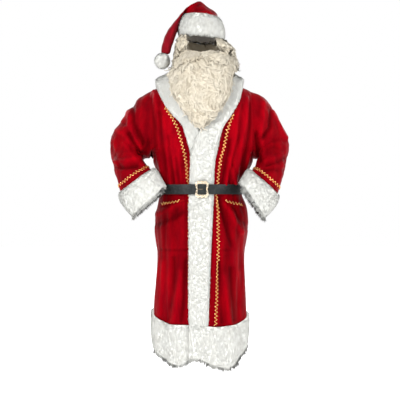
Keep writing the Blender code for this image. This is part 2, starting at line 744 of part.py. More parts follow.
def flap_grid(side, shares, offset):
    """Rows of a flap at shares of its depth, which grows towards the side seam."""
    start, end = FLAP_ENDS[side]
    shallow, deep = FLAP_DEPTHS[side]
    rows = []
    for share in shares:
        row = []
        for step in range(FLAP_COLUMNS + 1):
            along = step / FLAP_COLUMNS
            angle = math.radians(start + (end - start) * along)
            depth = shallow + (deep - shallow) * along
            row.append(robe_point(angle, FLAP_TOP - share * depth, offset))
        rows.append(row)
    return rows


def pocket_flap(side, material):
    outer = flap_grid(side, FLAP_SHARES, FLAP_RISE + FLAP_THICKNESS)
    return wall(f"pocket_flap_{side}", outer, flap_grid(side, FLAP_SHARES, FLAP_RISE), material)


def flap_braid(side, material):
    base = FLAP_RISE + FLAP_THICKNESS + BRAID_RISE
    outer = flap_grid(side, FLAP_BRAID_SHARES, base + BRAID_THICKNESS)
    return wall(f"flap_braid_{side}", outer, flap_grid(side, FLAP_BRAID_SHARES, base), material)


# ---------------------------------------------------------------- belt
STRAP_HEIGHT = 0.046
STRAP_THICKNESS = 0.003
STRAP_LIFT = 0.0042
STRAP_FRONT_LIFT = 0.0178
LAYER_STEP = 0.0036
BUCKLE_ANGLE = math.radians(2.5)
STRAP_TIP_ANGLE = math.radians(-50)
STRAP_COLUMNS = 60
STRAP_TIP_SHARES = {STRAP_COLUMNS: 0.45, STRAP_COLUMNS - 1: 0.86}
LAYER_FADE_START = 0.03
LAYER_FADE = 0.22
FRONT_LIFT_ANGLE = math.radians(44)
FRONT_LIFT_FADE = math.radians(20)
BELT_MIDDLE = 0.5 * (BELT_TOP + BELT_BOTTOM)


def belt_point(angle, up, offset):
    """A point off the belt's plain ring, which bridges the hollows beside the front trim."""
    turn = (angle + math.pi) % (2 * math.pi) - math.pi
    front = smoothstep((FRONT_LIFT_ANGLE - abs(turn)) / FRONT_LIFT_FADE)
    ring = [rounded_between(ROBE_RINGS, BELT_MIDDLE, name) for name in ("right", "left", "front", "back")]
    distance = reach(angle, *ring, RING_POWER) + offset + STRAP_LIFT
    distance += front * (STRAP_FRONT_LIFT - STRAP_LIFT)
    return Vector((CENTRE_X + distance * math.sin(angle), -distance * math.cos(angle),
                   BELT_MIDDLE + up))


def strap(material):
    """From the buckle's bar round the back, over the bar again and on to its rounded tip."""
    start, end = BUCKLE_ANGLE, STRAP_TIP_ANGLE - 2 * math.pi
    outer, inner = [], []
    for step in range(STRAP_COLUMNS + 1):
        angle = start + (end - start) * step / STRAP_COLUMNS
        before_bar = angle - (BUCKLE_ANGLE - 2 * math.pi)
        layer = LAYER_STEP * smoothstep(1 - (before_bar - LAYER_FADE_START) / LAYER_FADE)
        half = 0.5 * STRAP_HEIGHT * STRAP_TIP_SHARES.get(step, 1.0)
        for grid, offset in ((inner, layer), (outer, layer + STRAP_THICKNESS)):
            grid.append([belt_point(angle, up, offset) for up in (half, 0.0, -half)])
    return wall("belt_strap", outer, inner, material)


KEEPER_ANGLE = math.radians(-16.5)
KEEPER_WIDTH = 0.008
KEEPER_WALL = 0.0014
KEEPER_ROOM = 0.0004


def belt_frame(angle):
    """The directions along the strap, outward from it and up, at an angle."""
    along = (belt_point(angle + 0.01, 0, 0) - belt_point(angle - 0.01, 0, 0)).normalized()
    return along, along.cross(Vector((0, 0, 1))).normalized(), Vector((0, 0, 1))


def keeper(material):
    """The loop that holds the strap's tip down: a flat band round both layers."""
    along, outward, up = belt_frame(KEEPER_ANGLE)
    middle = belt_point(KEEPER_ANGLE, 0, 0.5 * (LAYER_STEP + STRAP_THICKNESS))
    depth = 0.5 * (LAYER_STEP + STRAP_THICKNESS) + KEEPER_ROOM
    half = 0.5 * STRAP_HEIGHT + KEEPER_ROOM
    corners = [(1, 1), (-1, 1), (-1, -1), (1, -1)]
    grids = []
    for extra in (KEEPER_WALL, 0.0):
        grids.append([[middle + outward * out * (depth + extra) + up * high * (half + extra)
                       + along * end * 0.5 * KEEPER_WIDTH for out, high in corners]
                      for end in (-1, 1)])
    return wall("belt_keeper", *grids, material, ring=True)


# The buckle: an ornate frame whose sides curve in and whose edge is scalloped, on a bar that passes
# behind the strap.
BUCKLE_HALF_WIDTH = 0.031
BUCKLE_HALF_HEIGHT = 0.038
WINDOW_HALF_WIDTH = 0.0255
WINDOW_HALF_HEIGHT = 0.0255
BUCKLE_THICKNESS = 0.0038
BUCKLE_POINTS = 56
SCALLOPS = 14
SCALLOP_DEPTH = 0.0016
SIDE_DIP = 0.0065
WINDOW_DIP = 0.0060
DIP_SPREAD = 0.35
CORNER_POWER = 5
BAR_HALF_WIDTH = 0.0022
BAR_THICKNESS = 0.0018
BAR_BEHIND = 0.0002
BAR_PLACE = 0.004
BAR_ARM = 0.004


def frame_outline(half_width, half_height, scallop, dip):
    """An outline with rounded corners, sides that curve in and a scalloped edge."""
    outline = []
    for step in range(BUCKLE_POINTS):
        turn = 2 * math.pi * step / BUCKLE_POINTS
        distance = reach(turn, half_width, half_width, half_height, half_height, CORNER_POWER)
        distance += scallop * math.cos(SCALLOPS * turn)
        distance -= dip * math.exp(-((math.cos(turn) / DIP_SPREAD) ** 2))
        outline.append((distance * math.sin(turn), distance * math.cos(turn)))
    return outline


def buckle_frame_object(material):
    along, outward, up = belt_frame(BUCKLE_ANGLE)
    face = belt_point(BUCKLE_ANGLE, 0, LAYER_STEP + STRAP_THICKNESS)
    outer = frame_outline(BUCKLE_HALF_WIDTH, BUCKLE_HALF_HEIGHT, SCALLOP_DEPTH, SIDE_DIP)
    window = frame_outline(WINDOW_HALF_WIDTH, WINDOW_HALF_HEIGHT, 0.0, WINDOW_DIP)
    levels = (SEAM_GAP, SEAM_GAP + BUCKLE_THICKNESS)
    grids = [[[face + along * x + up * z + outward * level for x, z in outline] for level in levels]
             for outline in (outer, window)]
    frame = wall("buckle_frame", *grids, material, ring=True)
    bar = buckle_bar(face, along, outward, up, material)
    join = frame.modifiers.new("bar", "BOOLEAN")
    join.operation = "UNION"
    join.solver = "EXACT"
    join.object = bar
    return frame


def buckle_bar(face, along, outward, up, material):
    """The bar behind the strap, with an arm at each end that reaches into the frame's rail."""
    rail = 0.5 * (BUCKLE_HALF_HEIGHT + WINDOW_HALF_HEIGHT)
    back = -2 * LAYER_STEP - BAR_BEHIND
    behind = back - BAR_THICKNESS
    into_rail = SEAM_GAP + 0.5 * BUCKLE_THICKNESS
    outline = [(into_rail, rail), (behind, rail), (behind, -rail), (into_rail, -rail),
               (into_rail, BAR_ARM - rail), (back, BAR_ARM - rail), (back, rail - BAR_ARM),
               (into_rail, rail - BAR_ARM)]
    shape = bmesh.new()
    first = face + along * (BAR_PLACE - BAR_HALF_WIDTH)
    side = shape.faces.new([shape.verts.new(first + outward * out + up * high) for out, high in outline])
    grown = bmesh.ops.extrude_face_region(shape, geom=[side])
    moved = [item for item in grown["geom"] if isinstance(item, bmesh.types.BMVert)]
    bmesh.ops.translate(shape, verts=moved, vec=along * 2 * BAR_HALF_WIDTH)
    bar = finished("buckle_bar", shape, material, smooth=False)
    bar.hide_render = True
    bar.display_type = "WIRE"
    return bar


# The pin's sections: distance along the strap, height over it and half width.
PRONG_OVER = SEAM_GAP + BUCKLE_THICKNESS + SEAM_GAP
PRONG = [(0.004, SEAM_GAP, 0.0022), (-0.012, SEAM_GAP + 0.0010, 0.0020),
         (-0.0165, PRONG_OVER, 0.0018), (-0.0262, PRONG_OVER, 0.0014)]
PRONG_THICKNESS = 0.0022


def prong(material):
    """The pin, from the middle of the window over the frame's right side."""
    along, outward, up = belt_frame(BUCKLE_ANGLE)
    face = belt_point(BUCKLE_ANGLE, 0, LAYER_STEP + STRAP_THICKNESS)
    outer, inner = [], []
    for x, level, half in PRONG:
        for grid, rise in ((inner, 0.0), (outer, PRONG_THICKNESS)):
            grid.append([face + along * x + up * z + outward * (level + rise) for z in (half, -half)])
    return wall("buckle_prong", outer, inner, material)


# ---------------------------------------------------------------- hat
HEAD_X, HEAD_Y = 0.009, 0.004
BAND_LOW = 0.222
BAND_TILT = -0.10
HAT_COLUMNS = 20
# The trim band from its lower to its upper edge: height, outer half width, outer half depth, wall.
BandRow = namedtuple("BandRow", "up width depth wall")
BAND_ROWS = [BandRow(0.000, 0.103, 0.123, 0.008), BandRow(0.014, 0.111, 0.132, 0.017),
             BandRow(0.052, 0.112, 0.132, 0.019), BandRow(0.088, 0.098, 0.120, 0.015),
             BandRow(0.102, 0.087, 0.109, 0.006)]
# The crown from the band to the tail's end: each ring's two sides as seen from the front, the depth
# of its middle and its half depth.
CROWN = [
    Cuff(0.0915, 0.3165, -0.0735, 0.3330, 0.004, 0.104),
    Cuff(0.086, 0.338, -0.0745, 0.3375, 0.004, 0.100),
    Cuff(0.062, 0.364, -0.0745, 0.3360, 0.004, 0.090),
    Cuff(0.032, 0.385, -0.0740, 0.3355, 0.003, 0.078),
    Cuff(0.000, 0.396, -0.0755, 0.3390, 0.000, 0.068),
    Cuff(-0.038, 0.377, -0.0850, 0.3370, -0.005, 0.060),
    Cuff(-0.082, 0.339, -0.0990, 0.3090, -0.012, 0.052),
    Cuff(-0.121, 0.293, -0.1085, 0.2680, -0.022, 0.044),
    Cuff(-0.155, 0.246, -0.1175, 0.2300, -0.032, 0.036),
    Cuff(-0.174, 0.195, -0.1285, 0.1890, -0.040, 0.028),
    Cuff(-0.179, 0.156, -0.1410, 0.1540, -0.045, 0.021),
]
POMPOM = Vector((-0.177, -0.050, 0.1075))
POMPOM_RADIUS = 0.0435


def hat_loop(width, depth, up):
    loop = []
    for step in range(HAT_COLUMNS):
        turn = 2 * math.pi * step / HAT_COLUMNS
        x = width * math.cos(turn)
        loop.append(Vector((HEAD_X + x, HEAD_Y - depth * math.sin(turn),
                            BAND_LOW + up + BAND_TILT * x)))
    return loop


def hat_band(material):
    outer = [hat_loop(row.width, row.depth, row.up) for row in BAND_ROWS]
    inner = [hat_loop(row.width - row.wall, row.depth - row.wall, row.up) for row in BAND_ROWS]
    return wall("hat_trim", outer, inner, material, ring=True)


def crown_loop(ring, shrink):
    out = Vector((ring.out_x, ring.y, ring.out_z))
    into = Vector((ring.in_x, ring.y, ring.in_z))
    across = (out - into).normalized()
    middle, half = 0.5 * (out + into), 0.5 * (out - into).length - shrink
    return [middle + across * half * math.cos(2 * math.pi * step / HAT_COLUMNS)
            + Vector((0, -1, 0)) * (ring.half - shrink) * math.sin(2 * math.pi * step / HAT_COLUMNS)
            for step in range(HAT_COLUMNS)]


def hat_crown(material):
    """A cone of cloth that folds over at its peak and hangs down the right side of the head."""
    outer = [crown_loop(ring, 0.0) for ring in CROWN]
    inner = [crown_loop(ring, CLOTH) for ring in CROWN]
    return wall("hat_crown", outer, inner, material, ring=True)


def pompom(material):
    shape = bmesh.new()
    bmesh.ops.create_icosphere(shape, subdivisions=3, radius=POMPOM_RADIUS)
    bmesh.ops.translate(shape, verts=shape.verts, vec=POMPOM)
    return finished("hat_pompom", shape, material)


# ---------------------------------------------------------------- wig, beard and moustache
HAIR_POWER = 2.2
HAIR_RINGS = [
    Ring(0.220, 0.112, 0.107, 0.124, 0.135),
    Ring(0.190, 0.128, 0.143, 0.130, 0.148),
    Ring(0.160, 0.134, 0.162, 0.136, 0.156),
    Ring(0.130, 0.136, 0.171, 0.152, 0.158),
    Ring(0.100, 0.137, 0.174, 0.178, 0.158),
    Ring(0.075, 0.142, 0.174, 0.198, 0.155),
    Ring(0.050, 0.167, 0.172, 0.211, 0.150),
    Ring(0.000, 0.182, 0.172, 0.226, 0.150),
    Ring(-0.050, 0.200, 0.190, 0.234, 0.150),
    Ring(-0.100, 0.200, 0.190, 0.234, 0.150),
    Ring(-0.150, 0.200, 0.190, 0.228, 0.150),
    Ring(-0.225, 0.200, 0.190, 0.216, 0.150),
]
WIG_ROWS = [0.218, 0.190, 0.160, 0.130, 0.102, 0.078]
# Where the wig's front edge and the beard's upper edge meet, by height: degrees from the front.
Parting = namedtuple("Parting", "height angle")
PARTING = [Parting(0.216, 36), Parting(0.160, 36), Parting(0.130, 62), Parting(0.100, 80),
           Parting(0.078, 92)]
PARTING_GAP_DEGREES = 1.5
WIG_COLUMNS = 24
WIG_WALL = 0.024
WIG_TOP_THINNING = 0.75
BEARD_HALF_ANGLE = 90
BEARD_COLUMNS = 16
BEARD_ROWS = 7
# The beard's edges and its thickness, by degrees from the front.
BeardEdge = namedtuple("BeardEdge", "height top bottom wall")
BEARD_EDGES = [BeardEdge(0, 0.116, -0.221, 0.032), BeardEdge(-14, 0.118, -0.186, 0.032),
               BeardEdge(-26, 0.124, -0.128, 0.030), BeardEdge(-36, 0.146, -0.082, 0.024),
               BeardEdge(-48, 0.138, -0.018, 0.020), BeardEdge(-62, 0.122, 0.048, 0.016),
               BeardEdge(-76, 0.100, 0.062, 0.020), BeardEdge(-90, 0.078, 0.068, 0.024)]
MOUSTACHE_HALF_ANGLE = 36
MOUSTACHE_COLUMNS = 14
MOUSTACHE_EDGES = [BeardEdge(0, 0.128, 0.104, 0.014), BeardEdge(-10, 0.138, 0.094, 0.022),
                   BeardEdge(-22, 0.138, 0.084, 0.020), BeardEdge(-36, 0.112, 0.080, 0.008)]
MOUSTACHE_RISE = 0.0015
CURL_EDGE_SHARE = 0.55


def hair_point(angle, height, offset):
    """A point off the outer form that wig and beard share."""
    ring = [rounded_between(HAIR_RINGS, height, name) for name in ("right", "left", "front", "back")]
    distance = reach(angle, *ring, HAIR_POWER) + offset
    return Vector((HEAD_X + distance * math.sin(angle), -distance * math.cos(angle), height))


def wig(material):
    """A ring of curls, open at the face, that hangs from under the hat to the collar."""
    grids = []
    for offset in (0.0, -WIG_WALL):
        rows = []
        for height in WIG_ROWS:
            thin = WIG_TOP_THINNING if offset and height == WIG_ROWS[0] else 1.0
            start = math.radians(between(PARTING, height, "angle") + PARTING_GAP_DEGREES)
            end = 2 * math.pi - start
            row = [hair_point(start + (end - start) * step / WIG_COLUMNS, height, offset * thin)
                   for step in range(WIG_COLUMNS + 1)]
            if height == WIG_ROWS[0]:
                for point in row:
                    point.z += BAND_TILT * (point.x - HEAD_X)
            rows.append(row)
        grids.append(rows)
    return wall("wig", *grids, material)


def bib(name, half_angle, columns, rows, edges, rise, material):
    """A wall of curls whose upper and lower edges follow a table by angle."""
    outer, inner = [], []
    for row in range(rows + 1):
        down = row / rows
        tops, bases = [], []
        for column in range(columns + 1):
            degrees = half_angle * (2 * column / columns - 1)
            top, bottom, thick = (between(edges, -abs(degrees), name) for name in
                                  ("top", "bottom", "wall"))
            height = top + down * (bottom - top)
            base, face = (rise, rise + thick) if rise else (-thick, 0.0)
            edge = CURL_EDGE_SHARE if row in (0, rows) or column in (0, columns) else 1.0
            tops.append(hair_point(math.radians(degrees), height, base + (face - base) * edge))
            bases.append(hair_point(math.radians(degrees), height, base))
        outer.append(tops)
        inner.append(bases)
    return wall(name, outer, inner, material)


# ---------------------------------------------------------------- the suit
def clear_scene():
    for obj in list(bpy.data.objects):
        bpy.data.objects.remove(obj)


def build():
    clear_scene()
    velour = plain_material("red velour", (0.45, 0.0, 0.02), 0.55)
    trim = plain_material("white pile", (0.90, 0.90, 0.88), 0.95)
    curls = plain_material("cream curls", (0.80, 0.74, 0.62), 0.85)
    gold = plain_material("gold braid", (0.80, 0.55, 0.18), 0.35, 0.8)
    leather = plain_material("black leather", (0.03, 0.03, 0.03), 0.45)
    brass = plain_material("pale gold metal", (0.85, 0.72, 0.45), 0.30, 1.0)
    robe_back(velour)
    for side in ("right", "left"):
        robe_front(side, velour)
        sleeve(side, velour)
        trim_strip(side, trim)
        hem_front(side, trim)
        cuff_trim(side, trim)
        front_braid(side, gold)
        sleeve_braid(side, gold)
        pocket_flap(side, velour)
        flap_braid(side, gold)
    hem_back(trim)
    strap(leather)
    keeper(leather)
    buckle_frame_object(brass)
    prong(brass)
    hat_band(trim)
    hat_crown(velour)
    pompom(trim)
    wig(curls)
    bib("beard", BEARD_HALF_ANGLE, BEARD_COLUMNS, BEARD_ROWS, BEARD_EDGES, 0.0, curls)
    bib("moustache", MOUSTACHE_HALF_ANGLE, MOUSTACHE_COLUMNS, 3, MOUSTACHE_EDGES, MOUSTACHE_RISE,
        curls)


build()
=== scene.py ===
import math
import random

import bmesh
import bpy
import numpy as np
from mathutils import Matrix, Vector, noise
from mathutils.bvhtree import BVHTree
from mathutils.kdtree import KDTree


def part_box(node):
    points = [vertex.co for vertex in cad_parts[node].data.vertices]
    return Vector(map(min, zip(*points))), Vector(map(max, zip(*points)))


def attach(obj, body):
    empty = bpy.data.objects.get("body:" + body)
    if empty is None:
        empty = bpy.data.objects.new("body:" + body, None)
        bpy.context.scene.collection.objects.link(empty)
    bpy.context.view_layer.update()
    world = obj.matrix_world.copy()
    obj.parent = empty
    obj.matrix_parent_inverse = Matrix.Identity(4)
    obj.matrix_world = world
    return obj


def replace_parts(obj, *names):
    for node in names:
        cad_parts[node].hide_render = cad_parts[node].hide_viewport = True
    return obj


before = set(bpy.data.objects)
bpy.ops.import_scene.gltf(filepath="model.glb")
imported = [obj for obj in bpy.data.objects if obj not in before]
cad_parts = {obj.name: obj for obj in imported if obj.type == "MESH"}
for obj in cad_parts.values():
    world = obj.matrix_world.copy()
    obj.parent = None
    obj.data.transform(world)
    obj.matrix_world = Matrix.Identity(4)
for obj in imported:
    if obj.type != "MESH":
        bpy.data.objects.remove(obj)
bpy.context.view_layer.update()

# ---------------------------------------------------------------- camera, floor and light
# The suit is seen square from the front through a long lens held level at its middle.
# It hangs over a plain pale floor in the even light of large soft lamps.
EYE = Vector((0.002, -4.53, -0.552))
FLOOR_LEVEL = -1.47
FLOOR_RADIUS = 14.0

camera = bpy.data.objects.new("camera", bpy.data.cameras.new("camera"))
bpy.context.scene.collection.objects.link(camera)
camera.location = EYE
camera.rotation_euler = (math.radians(90), 0, 0)
camera.data.lens = 85
camera.data.sensor_width = 36
bpy.context.scene.camera = camera
bpy.context.scene.view_settings.view_transform = "Standard"


def linked(name, mesh):
    """A mesh as an object in the scene."""
    obj = bpy.data.objects.new(name, mesh)
    bpy.context.scene.collection.objects.link(obj)
    return obj


def new_material(name):
    """A material, its tree of nodes and its main shader."""
    material = bpy.data.materials.new(name)
    material.use_nodes = True
    return material, material.node_tree, material.node_tree.nodes["Principled BSDF"]


def feed(tree, made, inputs):
    """Gives a node its inputs: another node's output is linked in, and the rest are plain values."""
    for key, value in inputs.items():
        if isinstance(value, bpy.types.NodeSocket):
            tree.links.new(value, made.inputs[key])
        else:
            made.inputs[key].default_value = value


def node(tree, kind, inputs=(), **settings):
    """A new node with its settings and inputs."""
    made = tree.nodes.new(kind)
    for key, value in settings.items():
        setattr(made, key, value)
    feed(tree, made, dict(inputs))
    return made


def meshed(name, shape):
    """A finished bmesh as a mesh."""
    mesh = bpy.data.meshes.new(name)
    shape.to_mesh(mesh)
    shape.free()
    return mesh


floor_shape = bmesh.new()
bmesh.ops.create_circle(floor_shape, cap_ends=True, segments=96, radius=FLOOR_RADIUS)
bmesh.ops.translate(floor_shape, verts=floor_shape.verts, vec=(0, 0, FLOOR_LEVEL))
floor = linked("floor", meshed("floor", floor_shape))
floor_paint, floor_tree, floor_shader = new_material("floor paint")
feed(floor_tree, floor_shader, {"Base Color": (0.90, 0.90, 0.90, 1), "Roughness": 0.8,
                                "Emission Color": (1, 1, 1, 1), "Emission Strength": 0.80})
floor.data.materials.append(floor_paint)

# The suit is lit by a soft sky, and the lens sees plain white behind it.
world = bpy.data.worlds.new("soft sky")
world.use_nodes = True
air = world.node_tree
sky = air.nodes["Background"]
feed(air, sky, {"Color": (0.95, 0.97, 1.0, 1), "Strength": 0.74})
seen_sky = node(air, "ShaderNodeBackground", {"Color": (1.0, 1.0, 1.0, 1), "Strength": 1.0})
sight = node(air, "ShaderNodeLightPath")
seen_or_not = node(air, "ShaderNodeMixShader", {0: sight.outputs["Is Camera Ray"], 1: sky.outputs[0],
                                                2: seen_sky.outputs[0]})
feed(air, air.nodes["World Output"], {"Surface": seen_or_not.outputs[0]})
bpy.context.scene.world = world


def lamp(name, place, target, size, watts):
    """A square soft lamp that looks at a target."""
    light = bpy.data.lights.new(name, "AREA")
    light.size = size
    light.energy = watts
    obj = bpy.data.objects.new(name, light)
    bpy.context.scene.collection.objects.link(obj)
    obj.location = place
    obj.rotation_euler = (Vector(target) - Vector(place)).to_track_quat("-Z", "Y").to_euler()


lamp("key lamp", (-2.2, -3.3, 1.2), (0, 0, -0.45), 1.3, 158)
lamp("side lamp", (2.7, -1.7, 0.8), (0, 0, -0.3), 1.0, 76)
lamp("back lamp left", (-2.4, 2.4, 1.4), (0, 0, -0.4), 1.3, 28)
lamp("back lamp right", (2.2, 2.6, 1.4), (0, 0, -0.4), 1.3, 28)

# ---------------------------------------------------------------- velour robe panels
# The robe is cut from red knitted velour: a back, two fronts and two set-in sleeves, sewn at the
# shoulders and sides. Each panel is a thin shell on its solid's outer face, eased over the
# wearer's form and creased where the belt gathers it and where the arms bend.
SQUARE = 0.0048
FIRST_COLUMN, FIRST_ROW = 199.6, 85.0
CLOTH_THICKNESS = 0.0016
SHARP = math.radians(52)
WELD = 2e-6
EASE_ROUNDS = 3
MILLIMETRE = 0.001
# Lift at which the painted fold shade and highlight are full.
FOLD_SHADE_FULL = 0.007
BODY_MIDDLE = 0.004
BELT_LEVEL = -0.502
FRONT_GAIN, SLEEVE_GAIN, SLEEVE_BACK_GAIN = 1.35, 1.3, 0.8
ROBE_FLAT_RIM, SLEEVE_FLAT_RIM = 0.022, 0.024
ROBE_TURN, SLEEVE_TURN = 0.25, 0.2
# Ripples of the cloth: how long they are along x, y and z, a seed, and how high. In metres.
GATHERS = ((0.019, 0.019, 0.50), 3.1, 0.0050)
GATHERS_FADE = 0.10
DRAPES = ((0.042, 0.042, 0.40), 7.7, 0.0085)
DRAPES_START = 0.12
ROBE_RIPPLES = [((0.021, 0.021, 0.17), 1.9, 0.0030), ((0.011, 0.011, 0.06), 5.3, 0.0008)]
SLEEVE_RIPPLES = [((0.035, 0.035, 0.055), 4.4, 0.0045), ((0.015, 0.015, 0.026), 8.1, 0.0016)]


def merged_copy(name):
    """A CAD node's mesh as one joined surface, with its triangles paired."""
    shape = bmesh.new()
    shape.from_mesh(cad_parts[name].data)
    bmesh.ops.remove_doubles(shape, verts=shape.verts, dist=WELD)
    bmesh.ops.join_triangles(shape, faces=shape.faces, angle_face_threshold=math.radians(60),
                             angle_shape_threshold=math.radians(180), cmp_seam=False)
    shape.faces.ensure_lookup_table()
    shape.verts.ensure_lookup_table()
    return shape


def outward_faces(shape, middle):
    """The faces of a closed wall that look away from its middle, bounded by its sharp rims."""
    left, best, most = set(shape.faces), set(), 0.0
    while left:
        first = left.pop()
        patch, edge_of_patch = {first}, [first]
        while edge_of_patch:
            face = edge_of_patch.pop()
            for edge in face.edges:
                if len(edge.link_faces) != 2 or edge.calc_face_angle(math.pi) > SHARP:
                    continue
                for other in edge.link_faces:
                    if other in left:
                        left.discard(other)
                        patch.add(other)
                        edge_of_patch.append(other)
        flow = 0.0
        for face in patch:
            centre = face.calc_center_median()
            flow += face.calc_area() * face.normal.dot((centre - middle(centre)).normalized())
        if flow > most:
            best, most = patch, flow
    return best


def plain_copy(obj):
    """The object's mesh with its modifiers applied."""
    return bpy.data.meshes.new_from_object(obj.evaluated_get(bpy.context.evaluated_depsgraph_get()))


def sewn_cloth(name, source, levels, hold=1.0):
    """A bmesh made into an object and rounded by subdivision, which a full hold brings back through
    its own points."""
    mesh = meshed(name, source)
    mesh.materials.clear()
    obj = linked(name, mesh)
    ease = obj.modifiers.new("ease", "SUBSURF")
    ease.levels = ease.render_levels = levels
    aim = arrays(mesh)[0]
    bent = aim.copy()
    for _ in range(EASE_ROUNDS):
        eased_mesh = plain_copy(obj)
        bent += hold * (aim - arrays(eased_mesh)[0][:len(aim)])
        bpy.data.meshes.remove(eased_mesh)
        mesh.vertices.foreach_set("co", bent.ravel())
        mesh.update()
    obj.data = plain_copy(obj)
    obj.modifiers.clear()
    bpy.data.meshes.remove(mesh)
    obj.data.name = name
    obj.data.shade_smooth()
    return obj


def arrays(mesh):
    """The places and normals of a mesh's vertices, in rows."""
    count = len(mesh.vertices)
    places, normals = np.zeros(count * 3), np.zeros(count * 3)
    mesh.vertices.foreach_get("co", places)
    mesh.vertex_normals.foreach_get("vector", normals)
    return places.reshape(-1, 3), normals.reshape(-1, 3)


def eased(value):
    """A share that starts and ends softly, from 0 to 1."""
    value = np.clip(value, 0.0, 1.0)
    return value * value * (3 - 2 * value)


def squares(places):
    """Columns and rows of 4.8 mm squares, counted from the top left of the front view."""
    spread = -EYE.y / (places[:, 1] - EYE.y)
    across = EYE.x + (places[:, 0] - EYE.x) * spread
    up = EYE.z + (places[:, 2] - EYE.z) * spread
    return np.stack([FIRST_COLUMN + across / SQUARE, FIRST_ROW - up / SQUARE], 1)


def crease_lift(marks, creases):
    """The lift in metres of soft ridges and troughs, each drawn through a few marks."""
    total = np.zeros(len(marks))
    for rise, width, *line in creases:
        nearest = np.full(len(marks), 1e9)
        for start, end in zip(line, line[1:]):
            start, end = np.array(start, float), np.array(end, float)
            run = end - start
            share = np.clip((marks - start) @ run / (run @ run), 0, 1)
            nearest = np.minimum(nearest, np.linalg.norm(marks - start - share[:, None] * run, axis=1))
        total += MILLIMETRE * rise * np.exp(-((nearest / width) ** 2))
    return total


def rim_distance(mesh, most=0.05):
    """How far each vertex lies from the cloth's sewn edges, up to a most."""
    shape = bmesh.new()
    shape.from_mesh(mesh)
    rim = [vert.co.copy() for vert in shape.verts if vert.is_boundary]
    shape.free()
    tree = KDTree(len(rim))
    for index, place in enumerate(rim):
        tree.insert(place, index)
    tree.balance()
    return np.array([min(most, tree.find(vert.co)[2]) for vert in mesh.vertices])


def ripple(places, scales, seed, height=1.0):
    """Smooth noise up to a height either way, stretched by a scale in metres along each axis."""
    return height * np.array([noise.noise(Vector((x / scales[0] + seed, y / scales[1], z / scales[2])))
                              for x, y, z in places])


def move(mesh, offsets):
    """Moves each vertex along its normal."""
    places, normals = arrays(mesh)
    places += normals * offsets[:, None]
    mesh.vertices.foreach_set("co", places.ravel())
    mesh.update()


def paint_fold_shade(mesh, lift):
    """Keeps each point's lift on the mesh, so that the shader paints shade into the troughs and highlight
    onto the crests.
    """
    fold = mesh.attributes.new("fold", "FLOAT", "POINT")
    fold.data.foreach_set("value", np.clip(lift / FOLD_SHADE_FULL, -1, 1).astype(np.float32))


# Creases: rise in millimetres, half width in squares, then marks as the squares' columns and rows.
FRONT_CREASES = [
    (1.8, 0.8, (157, 248.5), (170, 249.0), (186, 249.0)), (-1.6, 0.9, (157, 250.2), (186, 250.6)),
    (1.8, 0.8, (224, 252.0), (234, 252.2), (244, 251.6)), (-1.6, 0.9, (224, 253.7), (244, 253.2)),
    (5, 2.6, (155, 93), (158, 118), (159.5, 140), (162, 165), (166, 184)),
    (-7, 2.2, (150, 100), (152, 125), (153.5, 150), (159, 183)),
    (-4, 1.8, (159.5, 112), (161, 135), (163.5, 160), (167, 184)),
    (4, 2.0, (164, 118), (166.5, 145), (168, 165), (170.5, 184)),
    (-4, 1.6, (168.5, 136), (171, 165), (173.5, 184)),
    (3, 1.5, (172, 146), (174.5, 170), (177, 184)),
    (-3, 1.3, (176, 158), (179, 184)),
    (2.5, 1.3, (178, 148), (182, 184)),
    (4, 2.2, (247, 98), (246, 120), (241, 150), (235, 184)),
    (-6, 2.0, (251, 104), (250.5, 124), (247, 150), (240, 184)),
    (-4, 1.8, (242, 105), (239, 135), (233, 160), (229, 184)),
    (4, 2.0, (237, 115), (233, 145), (228, 170), (226, 184)),
    (-4, 1.5, (230, 140), (227, 160), (222, 184)),
    (3, 1.4, (228, 158), (232, 172), (236, 184)),
    (-3, 1.2, (233, 165), (238, 176), (242, 184)),
    (5, 3.0, (182, 201), (170, 208.5), (158, 214)),
    (-4, 2.2, (184, 212), (172, 218), (158, 224)),
    (-2, 1.0, (155, 249), (166, 250.5), (178, 249.5), (188, 250)),
    (4, 2.8, (181, 272), (177.5, 297), (173.8, 322)),
    (-5, 2.4, (173.5, 258), (172.6, 293), (168, 320)),
    (4, 2.4, (163, 262), (163, 290), (160, 315)),
    (-4, 2.2, (186, 260), (184.5, 300), (182, 322)),
    (6, 2.2, (225, 204), (232, 214), (237, 224), (242, 232)),
    (-6, 2.1, (219.5, 198), (223, 214), (228, 232), (232, 246)),
    (-4, 1.9, (233, 206), (240, 218), (248, 228)),
    (-2, 1.0, (222, 250.5), (233, 250.5), (245, 252.5)),
    (5, 2.5, (224, 276), (227, 305), (230.5, 327)),
    (-6, 2.4, (231.5, 268), (233.2, 300), (235, 322)),
    (4, 2.2, (239, 272), (240, 300), (240, 320)),
    (-4, 2.0, (219, 262), (220.5, 300), (222, 327)),
]
